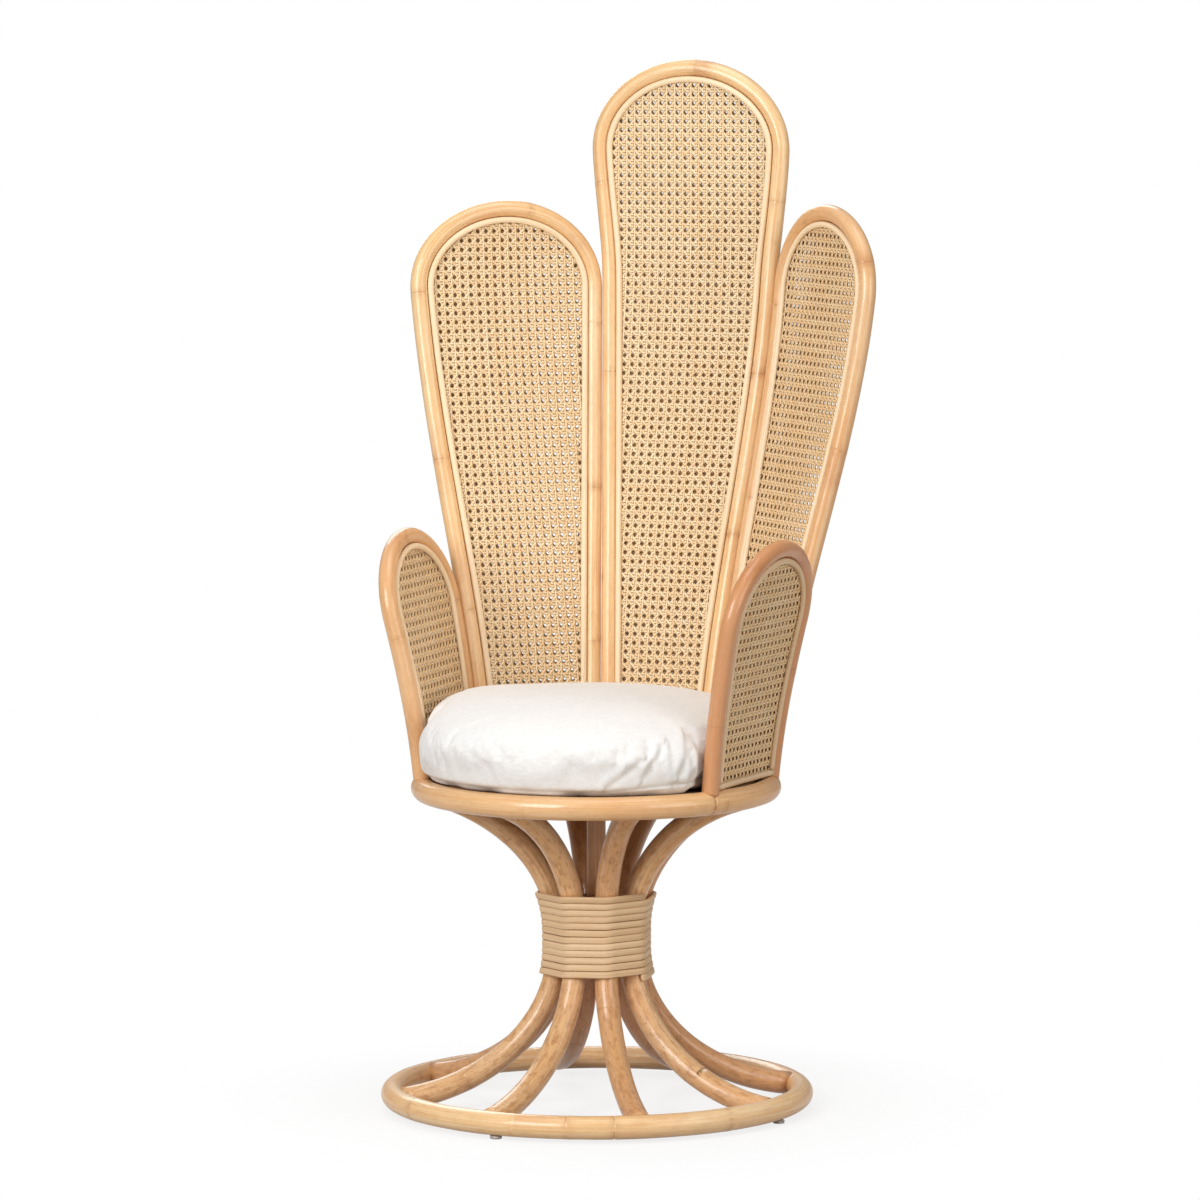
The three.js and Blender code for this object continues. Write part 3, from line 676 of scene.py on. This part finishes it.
class Hoop:
    """One hoop on the shared curve: its outline laid flat, and its feet on the seat ring."""

    def __init__(self, name, azimuth, half_angle, height, swell=0.0, front=0):
        self.name = name
        self.swell = swell
        self.front = front  # the side that has no neighbour: 1 for the right foot, -1 for the left
        self.widen = math.tan(half_angle)
        foot_angle = half_angle - math.asin((HOOP_RADIUS + CLEARANCE / 2) / SEAT_RING)
        self.foot_half = SEAT_RING * math.sin(foot_angle)
        self.distance = SEAT_RING * math.cos(foot_angle)
        self.out = np.array([math.sin(azimuth), math.cos(azimuth), 0.0])
        self.across = np.array([math.cos(azimuth), -math.sin(azimuth), 0.0])
        # The crown is half an ellipse that goes on from both poles; each pass brings its width nearer.
        self.crown_half = self.foot_half
        self.shoulder = 0.0
        for _ in range(CROWN_PASSES):
            self.crown_rise = self.crown_half * CROWN_RISE
            self.crown_middle = height - self.crown_rise
            self.shoulder_rise = self.crown_middle + self.crown_rise * math.sin(self.shoulder)
            self.shoulder = -math.atan(self.spread(self.shoulder_rise) * CROWN_RISE)
            self.crown_half = self.half_width(self.shoulder_rise) / math.cos(self.shoulder)

    def half_width(self, rise):
        """Half width between the middles of the poles at a rise."""
        out = np.interp(rise, CURVE_RISE, CURVE_OUT)
        swell = self.swell * ramp(rise / SIDE_HEIGHT, SWELL_LOW, SWELL_HIGH)
        return self.foot_half + out * self.widen + swell

    def spread(self, rise):
        return (self.half_width(rise + CURVE_STEP) - self.half_width(rise - CURVE_STEP)) / (2 * CURVE_STEP)

    def inward(self, rise):
        lean = lean_at(rise)[..., None]
        return np.sin(lean) * UP - np.cos(lean) * self.out

    def place(self, points):
        """From the flat hoop (across, up the curve, towards the sitter) to the chair."""
        x, rise, depth = (points[..., i, None] for i in range(3))
        out = self.distance + np.interp(rise, CURVE_RISE, CURVE_OUT)
        up = SEAT_HEIGHT + np.interp(rise, CURVE_RISE, CURVE_UP)
        return x * self.across + out * self.out + up * UP + depth * self.inward(rise[..., 0])

    def pole(self, side, rise):
        """The middle of the right (1) or left (-1) pole at each rise."""
        return self.place(np.stack([side * self.half_width(rise), rise, np.zeros_like(rise)], axis=1))

    def outline(self, inset, foot, leg_steps=24, crown_steps=48):
        """Up the right leg, over the crown and down the left, moved in from the middle of the pole."""
        angle = np.linspace(self.shoulder, math.pi - self.shoulder, crown_steps + 1)
        slope = unit(np.stack([np.cos(angle) / self.crown_half, np.sin(angle) / self.crown_rise], axis=1))
        crown = np.stack([self.crown_half * np.cos(angle),
                          self.crown_middle + self.crown_rise * np.sin(angle)], axis=1) - inset * slope
        rise = np.linspace(foot, self.shoulder_rise, leg_steps, endpoint=False)
        right = np.stack([self.half_width(rise) - inset * np.hypot(1, self.spread(rise)), rise], axis=1)
        return np.concatenate([right, crown, (right * [-1, 1])[::-1]])


def with_depth(flat, depth):
    return np.concatenate([flat, np.full((*flat.shape[:-1], 1), depth)], axis=-1)


def build_hoop_pole(hoop, seed, **looks):
    line = hoop.outline(0, 0, 1200, 1200)
    rattan(f"pole_{hoop.name}", f"{hoop.name}_hoop", hoop.place(with_depth(line, 0.0)), -hoop.out,
           HOOP_RADIUS, seed, copes=((0, SEAT), (1, SEAT)), **looks)


def inset_at(depth):
    """How far from the middle of a pole a piece stays that lies off the panel's middle by a depth."""
    return math.sqrt(HOOP_RADIUS ** 2 - depth ** 2) + CLEARANCE


LEAN_LOW = float(lean_at(MAIN_RADIUS))
PANEL_FOOT = (MAIN_RADIUS + CLEARANCE + TRIM_REACH * math.sin(LEAN_LOW)) / math.cos(LEAN_LOW)


def build_beads(hoop, face, sign, seed, painted_shade):
    """Split trim on one face of the panel: a strip along the foot, and a bent length round the rest."""
    rng = np.random.default_rng(seed)
    angle = np.linspace(0, math.pi, BEAD_SIDES)
    shape = np.stack([
        BEAD_DEPTH * rounded(np.sin(angle), BEAD_POWERS[0]),
        BEAD_WIDTH / 2 * rounded(np.cos(angle), BEAD_POWERS[1]),
    ], axis=-1) * [1, sign]
    edge = inset_at(BEAD_LOW)
    bent = hoop.outline(edge + BEAD_WIDTH / 2, PANEL_FOOT + BEAD_WIDTH, 40)
    level = PANEL_FOOT + BEAD_WIDTH / 2
    half = hoop.half_width(PANEL_FOOT) - edge
    strip = np.linspace([half, level], [-half, level], 14)
    trim = Bundle()
    for line in (bent, strip):
        path = hoop.place(with_depth(line, sign * BEAD_LOW))
        at = lengths(path)
        swell = 0.98 + sum(far * np.sin(at / pace + rng.uniform(0, 6)) for far, pace in BEAD_SWELLS)
        section = shape * np.stack([np.ones_like(swell), swell], axis=-1)[:, None]
        rings = sweep(path, sign * hoop.inward(line[:, 1]), section)
        trim.add(rings, shape, at + rng.uniform(0, 9), rng.uniform(0, 0.5))
    # The right arm's outer trim is browned with painted shade.
    trim.finish(f"bead_{hoop.name}_{face}", BEAD, "rattan_bead", f"{hoop.name}_bead_{face}",
                np.full(trim.count, painted_shade))


def clip(outline, start, way):
    """Where a line enters and leaves an outline, or None."""
    edge = np.roll(outline, -1, 0) - outline
    side = np.array([-way[1], way[0]])
    rate = edge @ side
    share = (start - outline) @ side / np.where(np.abs(rate) > 1e-12, rate, 1e-12)
    met = (share >= 0) & (share < 1)
    at = (outline[met] + share[met, None] * edge[met] - start) @ way / (way @ way)
    if len(at) < 2 or np.ptp(at) < CANE_PITCH[1] / 2:
        return None
    return at.min(), at.max()


def strand_lines(outline):
    """Each strand of six-way cane as (start, way, width, stops, heights): where it bends and how high."""
    low, high = outline.min(0), outline.max(0)
    first, last = np.floor(low / CANE_PITCH).astype(int) - 1, np.ceil(high / CANE_PITCH).astype(int) + 1
    columns, rows = (np.arange(first[i], last[i] + 1) * CANE_PITCH[i] for i in (0, 1))
    right, up = np.array([1.0, 0.0]), np.array([0.0, 1.0])
    pair = CANE_PAIR / 2
    for column in columns:
        for side in (-1, 1):
            yield right * (column + side * pair), up, CANE_WIDTH, rows, np.full(len(rows), side * CANE_LEVEL)
    over_and_under = np.stack([columns - pair, columns + pair], axis=1).ravel()
    heights = np.tile([CANE_LEVEL, -CANE_LEVEL], len(columns))
    for row in rows:
        for side in (-1, 1):
            yield up * (row + side * pair), right, CANE_WIDTH, over_and_under, heights
    # A diagonal crosses an upright pair and a level pair in turn, over one kind and under the other.
    quarter = np.arange(4 * first[0] - 2, 4 * last[0] + 3)
    wave = CANE_LIFT * np.cos(quarter * math.pi / 2)
    bends = quarter * CANE_PITCH[1] / 4
    reach = last[0] - first[0]
    for rise in (1, -1):
        way = np.array([CANE_PITCH[0] / CANE_PITCH[1], rise])
        for k in range(first[1] - reach - 2, last[1] + reach + 3):
            yield up * ((k + 0.5) * CANE_PITCH[1]), way, CANE_DIAGONAL, bends, rise * wave


def build_cane(hoop, layer, node, sign, seed, deep, pith, shift=(0, 0), skew=0.0, pull=(1, 1)):
    """Six-way webbing: paired uprights, paired levels and two sets of diagonals, with open eyes."""
    rng = np.random.default_rng(seed)
    outline = hoop.outline(inset_at(CANE_GAP / 2) + CANE_TUCK, PANEL_FOOT + CANE_TUCK, 30, 40)
    slant = math.radians(skew)
    turn = np.array([[math.cos(slant), -math.sin(slant)], [math.sin(slant), math.cos(slant)]]) * pull
    shift = np.array(shift) * MM
    turned = (outline - shift) @ np.linalg.inv(turn).T
    weave = Bundle()
    for start, way, width, stops, heights in strand_lines(turned):
        span = clip(turned, start, way)
        if span is None:
            continue
        inside = stops[(stops > span[0] + CANE_END) & (stops < span[1] - CANE_END)]
        at = np.concatenate([[span[0]], inside, [span[1]]])
        lift = np.interp(at, stops, heights)
        across = np.array([-way[1], way[0]]) / np.linalg.norm(way)
        jitter = rng.normal(0, CANE_STRAY[0]) + rng.normal(0, CANE_STRAY[1], len(at))
        line = (start + at[:, None] * way + jitter[:, None] * across) @ turn.T + shift
        path = hoop.place(np.concatenate([line, sign * (CANE_MIDDLE + lift[:, None])], axis=1))
        half = width / 2 * rng.uniform(0.94, 1.06)
        shape = np.array([[CANE_THICK / 2, 0], [0, half], [-CANE_THICK / 2, 0], [0, -half]])
        rings = sweep(path, hoop.inward(line[:, 1]), shape)
        # A strand's tone is random, plus painted shade on the shaded panels.
        weave.add(rings, shape, at + rng.uniform(0, 50), rng.uniform(0, 1) + deep)
    # The duller pith side of a strand faces the hollow between the layers; its brown there is partly painted
    # shade.
    facing = np.array([0, CANE_EDGE, 1, CANE_EDGE] if sign > 0 else [1, CANE_EDGE, 0, CANE_EDGE])
    weave.finish(f"woven_{hoop.name}_{layer}", CANE, "cane_webbing", node,
                 np.tile(pith * facing, weave.count // 4))


SIDE_ANGLE = BACK_HALF_ANGLE + SIDE_HALF_ANGLE
ARM_ANGLE = SIDE_ANGLE + SIDE_HALF_ANGLE + ARM_HALF_ANGLE
HOOPS = [
    Hoop("back", 0, BACK_HALF_ANGLE, BACK_HEIGHT, BACK_SWELL),
    Hoop("side_left", -SIDE_ANGLE, SIDE_HALF_ANGLE, SIDE_HEIGHT),
    Hoop("side_right", SIDE_ANGLE, SIDE_HALF_ANGLE, SIDE_HEIGHT),
    Hoop("arm_left", -ARM_ANGLE, ARM_HALF_ANGLE, ARM_HEIGHT, front=-1),
    Hoop("arm_right", ARM_ANGLE, ARM_HALF_ANGLE, ARM_HEIGHT, front=1),
]


# How each outer weave lies against the inner one: moved (mm), turned (degrees) and pulled
OUTER_WEAVES = (
    ((2.4, 6.5), 0.21, (1.0, 0.995)),
    ((4.2, 3.1), -0.17, (0.975, 1.0)),
    ((-14.8, 1.8), -0.36, (0.95, 1.0)),
    ((27.8, 5.4), 0.1, (1.0, 1.0)),
    ((26.3, 10.4), 0.1, (1.0, 1.0)),
)
# How deep in colour the strands of each panel are, and how brown their pith: the deeper colour of the right
# panel and the arms is painted shade, and the pith's brown is partly its own and partly painted shade in the
# hollow between the layers
CANE_TONES_AND_SHADE = ((0.0, 0.12), (0.0, 0.3), (0.5, 0.8), (0.35, 0.65), (0.35, 0.5))
# How much painted shade browns the outer trim of each panel
TRIM_PAINTED_SHADE = (0.0, 0.0, 0.0, 0.0, 0.24)
# Knots and stains of each pole as shares of its length, from the right foot over the crown to the left
HOOP_LOOKS = [
    {"knots": (0.153, 0.261, 0.375, 0.495, 0.613, 0.74), "tone": 0.0,
     "stains": ((0.154, 0.006, 0.55), (0.263, 0.016, 0.3), (0.49, 0.018, 0.45)),
     "spots": ((0.877, 0.005, 60),)},
    {"knots": (0.10, 0.225, 0.36, 0.48, 0.612, 0.747, 0.87), "tone": 0.0,
     "stains": ((0.226, 0.008, 0.3), (0.43, 0.02, 0.2))},
    {"knots": (0.12, 0.27, 0.417, 0.53, 0.622, 0.78), "tone": 0.48,
     "stains": ((0.42, 0.014, 0.35), (0.25, 0.03, 0.25))},
    {"knots": (0.29, 0.531, 0.746), "tone": 0.55, "stains": ((0.55, 0.03, 0.35), (0.9, 0.03, 0.3))},
    {"knots": (0.13, 0.394, 0.575, 0.80), "tone": 1.25, "stains": ((0.39, 0.03, 0.4), (0.58, 0.02, 0.4))},
]


def build_hoops():
    for i, hoop in enumerate(HOOPS):
        build_hoop_pole(hoop, 40 + i, **HOOP_LOOKS[i])
        build_cane(hoop, "inner", f"{hoop.name}_cane", 1, 60 + i, *CANE_TONES_AND_SHADE[i])
        build_cane(hoop, "outer", f"{hoop.name}_cane_outer", -1, 70 + i, *CANE_TONES_AND_SHADE[i], *OUTER_WEAVES[i])
        for face, sign in (("inner", 1), ("outer", -1)):
            build_beads(hoop, face, sign, 80 + 2 * i + (sign > 0), TRIM_PAINTED_SHADE[i] * (sign < 0))


# Seat

def build_glides():
    """Round nail-on glides with soft edges."""
    steps = 32
    bend = np.linspace(0, math.pi / 2, 5)
    half, hub = GLIDE_WIDTH / 2, 0.002
    foot = np.stack([half - GLIDE_ROUND * (1 - np.sin(bend)), GLIDE_ROUND * (1 - np.cos(bend))], axis=1)
    profile = np.concatenate([[[hub, 0]], foot, [[half, GLIDE_HEIGHT], [hub, GLIDE_HEIGHT]]])
    for i in range(4):
        node = f"floor_glide_{i + 1}"
        low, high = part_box(node)
        middle = np.array([(low.x + high.x) / 2, (low.y + high.y) / 2, low.z]) - AXIS
        rings = lathe(*profile.T, steps) + middle
        piece(f"glide_{i + 1}", rings, skin(len(profile), steps), GLIDE, "glide", node)


def dress_hidden_wood():
    for node in ("seat_deck", "waist_core"):
        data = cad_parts[node].data
        data.materials.clear()
        data.materials.append(WOOD)


CUSHION_VOXEL = 0.005
CUSHION_REACH = 0.247  # of the sewn case from the axis, before it swells
CUSHION_CREST = 0.112  # heights over the deck
CUSHION_BELLY = 0.034  # where it is fullest
CUSHION_LIP = -0.004  # of the lower edge, over the round of the ring
CUSHION_LAP = 0.03  # the share of the reach that the lower edge turns in
CUSHION_CAP = 0.008
CUSHION_FRAMES = 20
CUSHION_EASE = 0.0015
CUSHION_FLOOR = DECK_TOP + CLEARANCE
CORNER_LAP = 0.03  # a panel holds the cushion this far past its pole, where a neighbour follows
HOLLOW_DEEP = 0.038  # how far the side draws back from its bulge to pass behind an arm's front pole
HOLLOW_TURNS = (math.radians(3.3), math.radians(9.5))
SEAM_LOW = 0.008
SEAM_RISE = 0.009  # the seam climbs this much towards the right corner
SEAM_TURNS = (math.radians(20), math.radians(56))
# Folds as (turn from the front in degrees, height) and how deep each is
FOLDS = [
    (((26.0, 0.470), (30.5, 0.484), (36.5, 0.504)), 0.0024),
    (((37.5, 0.482), (40.0, 0.497), (44.4, 0.524)), 0.0022),
    (((47.0, 0.474), (46.8, 0.518)), 0.0014),
    (((49.0, 0.484), (52.0, 0.509), (53.6, 0.530)), 0.0022),
    (((-36.0, 0.486), (-32.8, 0.518)), 0.0010),
    (((-31.0, 0.532), (-24.4, 0.549)), 0.0012),
    (((-22.3, 0.518), (-19.0, 0.531)), 0.0010),
    (((-2.0, 0.515), (3.0, 0.535)), 0.0008),
]
FOLD_WIDTH = 0.0048
FOLD_RIDGE = (1.7, 1.5, 0.9)  # its distance and its width in fold widths, and its share of the depth
FOLD_CREASE = 0.7
FOLD_REACH = 6
SIDE_SPAN = (0.15, 0.03)  # where the side starts, from the axis, and how far it fades in
SEAM_DRAW = (0.002, 0.003)  # how deep the seam draws in, and over what height
SEAM_LINE = 0.0014
SHOULDER_LIFT = 0.013  # how much fuller the side towards the left arm is
SHOULDER_TURN = math.radians(-85)
SHOULDER_REACH = math.radians(42)
SHOULDER_SPAN = (0.10, 0.20)  # from the axis
SHOULDER_RISE = 0.03
HEM_HEIGHT = 0.014  # the hem below this is drawn even
HEM_FADE = 0.004
HEM_PASSES = 14
HEM_PULL = 0.6
CASE_STEPS = 96
CASE_POWER = 2 / 2.9  # how square the crown is
CASE_UNDER = [0.8, 0.5, 0.02]  # rings of the underside, as shares of the reach
CASE_CLOTH = {
    "quality": 6, "mass": 0.25, "tension_stiffness": 12, "compression_stiffness": 12,
    "bending_stiffness": 0.4, "shrink_min": -0.04, "use_pressure": True, "uniform_pressure_force": 4,
}


def sewn_case():
    """The case as rings from the middle of the top over the belly to the middle of the bottom."""
    over = np.linspace(0.02, math.pi / 2, 26)
    under = np.linspace(0, math.pi / 2, 10)[1:]
    reach = np.concatenate([
        np.sin(over) ** CASE_POWER, 1 - CUSHION_LAP * (1 - np.cos(under)), CASE_UNDER,
    ])
    height = np.concatenate([
        CUSHION_BELLY + (CUSHION_CREST - CUSHION_BELLY) * np.cos(over),
        CUSHION_BELLY - (CUSHION_BELLY - CUSHION_LIP) * np.sin(under), np.zeros(len(CASE_UNDER)),
    ])
    rings = lathe(CUSHION_REACH * reach, height, CASE_STEPS) + CUSHION_FLOOR * UP
    return hold_in(rings.reshape(-1, 3)), skin(len(reach), CASE_STEPS)


def build_cushion():
    """A full round cushion: its case swells, rests on the deck and stays inside the panels."""
    mesh = bpy.data.meshes.new("cotton_cushion")
    points, faces = sewn_case()
    mesh.from_pydata((points + AXIS).tolist(), [], faces)
    made = show("cotton_cushion", mesh)
    bpy.context.view_layer.objects.active = made
    made.select_set(True)
    made.data.remesh_voxel_size = CUSHION_VOXEL
    bpy.ops.object.voxel_remesh()
    swell(made)
    made.modifiers.new("smooth", "SUBSURF").levels = 1
    bpy.ops.object.modifier_apply(modifier="smooth")
    shape_cushion(made)
    made.data.materials.append(COTTON)
    made.data.shade_smooth()
    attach(made, "cushion")
    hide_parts("seat_cushion")


def hold_in(points):
    """Keeps points clear of the panels, the poles, the deck and the seat ring."""
    rise = np.interp(points[:, 2] - SEAT_HEIGHT, CURVE_UP, CURVE_RISE)
    turn = np.arctan2(points[:, 0], -points[:, 1])
    for hoop in (h for h in HOOPS if h.front):
        pole = hoop.pole(hoop.front, rise)
        past = ramp(np.abs(turn - np.arctan2(pole[:, 0], -pole[:, 1])), *HOLLOW_TURNS)
        limit = off_axis(pole) - HOOP_RADIUS - CUSHION_EASE + HOLLOW_DEEP * past
        limit = np.where(past < 1, limit, np.inf)
        points[:, :2] *= np.minimum(1, limit / off_axis(points))[:, None]
    for hoop in HOOPS:
        face = hoop.distance + np.interp(rise, CURVE_RISE, CURVE_OUT)
        face -= (HOOP_RADIUS + CUSHION_EASE) / np.cos(lean_at(rise))
        reach = hoop.half_width(rise)
        along = points @ hoop.across
        left, right = (reach + CORNER_LAP * (hoop.front != side) for side in (-1, 1))
        beside = (along > -left) & (along < right)
        points = points - (np.maximum(0, points @ hoop.out - face) * beside)[:, None] * hoop.out
        for side in (-1, 1):
            away = (points - hoop.pole(side, rise)) * [1, 1, 0]
            gap = np.linalg.norm(away, axis=1, keepdims=True)
            points = points + away / np.maximum(gap, 1e-6) * np.maximum(0, HOOP_RADIUS + CUSHION_EASE - gap)
    past = off_axis(points) - SEAT_RING
    ring_top = SEAT_HEIGHT + np.sqrt(np.maximum(0, (MAIN_RADIUS + CUSHION_EASE) ** 2 - past ** 2))
    lowest = np.where(past < 0, np.maximum(CUSHION_FLOOR, ring_top), ring_top)
    points[:, 2] = np.maximum(points[:, 2], lowest)
    return points


def points_of(obj):
    points = np.empty(len(obj.data.vertices) * 3, np.float32)
    obj.data.vertices.foreach_get("co", points)
    return points.reshape(-1, 3).astype(float)


def set_points(obj, points):
    obj.data.vertices.foreach_set("co", points.astype(np.float32).ravel())
    obj.data.update()


def swell(obj):
    """Blows the case up as cloth, and keeps each point within a cap of where it was sewn."""
    sewn = points_of(obj)
    cloth = obj.modifiers.new("swell", "CLOTH").settings
    for key, value in CASE_CLOTH.items():
        setattr(cloth, key, value)
    cloth.effector_weights.gravity = 0
    scene = bpy.context.scene
    for number in range(1, CUSHION_FRAMES + 1):
        scene.frame_set(number)
    bpy.ops.object.modifier_apply(modifier="swell")
    scene.frame_set(1)
    moved = points_of(obj) - sewn
    far = np.linalg.norm(moved, axis=1, keepdims=True)
    set_points(obj, sewn + moved * np.minimum(1, CUSHION_CAP / np.maximum(far, 1e-9)))


def fold_push(turn, height):
    """How far the folds move each point of the cushion's side out, each a crease beside a soft ridge."""
    spot = np.stack([CUSHION_REACH * turn, height], axis=1)
    push = np.zeros(len(spot))
    off_middle, wide, high = FOLD_RIDGE
    for corners, depth in FOLDS:
        line = np.array([(CUSHION_REACH * math.radians(t), z) for t, z in corners])
        nearest = np.full(len(spot), np.inf)
        signed = np.zeros(len(spot))
        for start, end in zip(line[:-1], line[1:]):
            way = end - start
            share = np.clip((spot - start) @ way / (way @ way), 0, 1)
            off = spot - start - share[:, None] * way
            far = np.linalg.norm(off, axis=1)
            closer = far < nearest
            nearest = np.where(closer, far, nearest)
            signed = np.where(closer, far * np.sign(off[:, 1] * way[0] - off[:, 0] * way[1]), signed)
        ridge = hump(signed / FOLD_WIDTH - off_middle, (high, wide)) * (nearest < FOLD_REACH * FOLD_WIDTH)
        push += depth * (ridge - hump(nearest, (FOLD_CREASE, FOLD_WIDTH)))
    return push


def even_out(obj, points):
    """Draws the hem even: each low point moves towards the middle of its neighbours, then clear again."""
    ends = np.empty(len(obj.data.edges) * 2, np.int32)
    obj.data.edges.foreach_get("vertices", ends)
    one, two = ends.reshape(-1, 2).T
    count = np.bincount(ends, minlength=len(points))[:, None]
    low = np.clip((CUSHION_FLOOR + HEM_HEIGHT - points[:, 2]) / HEM_FADE, 0, 1)[:, None]
    for _ in range(HEM_PASSES):
        total = np.stack([
            np.bincount(one, points[two, i], len(points)) + np.bincount(two, points[one, i], len(points))
            for i in range(3)
        ], axis=1)
        points = hold_in(points + HEM_PULL * low * (total / count - points))
    return points


def shape_cushion(obj):
    """Lays the folds into the side, draws in the seam and holds the case off its neighbours."""
    points = even_out(obj, points_of(obj) - AXIS)
    turn = np.arctan2(points[:, 0], -points[:, 1])
    reach = off_axis(points)
    over_belly = points[:, 2] - CUSHION_FLOOR - CUSHION_BELLY
    fuller = hump(turn - SHOULDER_TURN, (SHOULDER_LIFT, SHOULDER_REACH))
    points[:, 2] += fuller * ramp(reach, *SHOULDER_SPAN) * ramp(over_belly, 0, SHOULDER_RISE)
    outward = unit(points * [1, 1, 0] + [0, 0, 1e-9])
    side = np.clip((reach - SIDE_SPAN[0]) / SIDE_SPAN[1], 0, 1)
    away = points[:, 2] - CUSHION_FLOOR - SEAM_LOW - SEAM_RISE * ramp(turn, *SEAM_TURNS)
    push = fold_push(turn, points[:, 2]) - hump(away, SEAM_DRAW)
    points = hold_in(points + (push * side)[:, None] * outward)
    set_points(obj, points + AXIS)
    # Where the seam's line of painted shade lies.
    data = obj.data.attributes.new("seam_shade", "FLOAT", "POINT").data
    data.foreach_set("value", (hump(away, (1, SEAM_LINE)) * side).astype(np.float32))


# Stage

FLOOR_LIFT = 0.8  # how much of the floor under the chair is plain white
FLOOR_FADE = (0.30, 0.62)  # from the axis; beyond the second, all of it is
FLOOR_RADIUS = 6.0
FLOOR_STEPS = 96
FLOOR_GLOSS = 0.5  # how much of that white a glossy ray meets
WORLD_LIGHT = 0.31
LAMP_AIM = 0.7


def build_floor():
    """A pale floor that is nearly white to the camera, keeps a soft shadow and gives little light back."""
    material, tree, shader = new_material("pale_floor")
    where = put(tree, "ShaderNodeTexCoord").outputs["Object"]
    far = put(tree, "ShaderNodeVectorMath", {"operation": "LENGTH"}, Vector=where)
    grit = noise(tree, where, (30, 30, 30))
    pale = mix(tree, mapped(tree, grit, 0.3, 0.7), (244, 244, 243), (248, 248, 247))
    rays = put(tree, "ShaderNodeLightPath").outputs
    glossy = calc(tree, "MULTIPLY", rays["Is Glossy Ray"], FLOOR_GLOSS)
    seen = calc(tree, "MAXIMUM", rays["Is Camera Ray"], glossy)
    paint(tree, shader, mix(tree, seen, (172, 163, 152), pale), 0.9, Specular_IOR_Level=0.1)
    white = put(tree, "ShaderNodeEmission", Color=(1, 1, 1, 1), Strength=1.0)
    fade = mapped(tree, far.outputs["Value"], *FLOOR_FADE, FLOOR_LIFT, 1.0)
    blend(tree, calc(tree, "MULTIPLY", fade, seen), shader, white, tree.nodes["Material Output"])

    mesh = bpy.data.meshes.new("floor")
    mesh.from_pydata(lathe([FLOOR_RADIUS], [0], FLOOR_STEPS)[0].tolist(), [], [list(range(FLOOR_STEPS))])
    mesh.materials.append(material)
    floor = show("floor", mesh)
    floor.location = AXIS


def build_world():
    world = bpy.data.worlds.new("studio")
    bpy.context.scene.world = world
    world.use_nodes = True
    tree = world.node_tree
    rays = put(tree, "ShaderNodeLightPath").outputs
    seen = calc(tree, "MAXIMUM", rays["Is Camera Ray"], rays["Is Transmission Ray"])
    dim = tree.nodes["Background"]
    dim.inputs["Color"].default_value = (1.0, 1.0, 1.0, 1)
    dim.inputs["Strength"].default_value = WORLD_LIGHT
    white = put(tree, "ShaderNodeBackground", Color=(1, 1, 1, 1), Strength=1.0)
    blend(tree, seen, dim, white, tree.nodes["World Output"])


CAMERA_RIGHT = np.array([math.cos(CAMERA_AZIMUTH), math.sin(CAMERA_AZIMUTH), 0.0])
CAMERA_BACK = np.array([math.sin(CAMERA_AZIMUTH), -math.cos(CAMERA_AZIMUTH), 0.0])


def aimed(obj, place, target, roll=0.0):
    """Puts a camera or a lamp at a place so that it looks at a target."""
    way = Vector(target) - Vector(place)
    turn = way.to_track_quat("-Z", "Y").to_matrix().to_4x4() @ Matrix.Rotation(roll, 4, "Z")
    obj.matrix_world = Matrix.Translation(Vector(place)) @ turn


def build_camera():
    camera = show("camera", bpy.data.cameras.new("camera"))
    camera.data.lens = CAMERA_LENS
    camera.data.clip_end = 100
    place = AXIS + CAMERA_DISTANCE * CAMERA_BACK + CAMERA_HEIGHT * UP
    target = AXIS + CAMERA_TARGET[0] * CAMERA_RIGHT + CAMERA_TARGET[1] * UP
    aimed(camera, place, target, CAMERA_ROLL)
    bpy.context.scene.camera = camera


def build_lamp(name, right, back, up, size, power, colour=(1, 1, 1)):
    """A square soft box, placed from the chair as the camera sees it."""
    lamp = show(name, bpy.data.lights.new(name, "AREA"))
    lamp.data.size = size
    lamp.data.energy = power
    lamp.data.color = colour
    place = AXIS + right * CAMERA_RIGHT + back * CAMERA_BACK + up * UP
    aimed(lamp, place, AXIS + LAMP_AIM * UP)


def build_lamps():
    build_lamp("key", -2.0, 2.8, 2.1, 1.8, 95)
    build_lamp("fill", 2.6, 2.4, 1.6, 2.0, 40, (1.0, 0.96, 0.90))
    build_lamp("top", 0.2, 0.3, 3.4, 1.6, 24)
    build_lamp("back", -0.8, -3.2, 2.6, 2.0, 44)


build_camera()
build_rings()
build_pedestal()
build_binding()
build_hoops()
build_glides()
dress_hidden_wood()
build_cushion()
build_floor()
build_world()
build_lamps()

bpy.context.scene.view_settings.view_transform = "Standard"
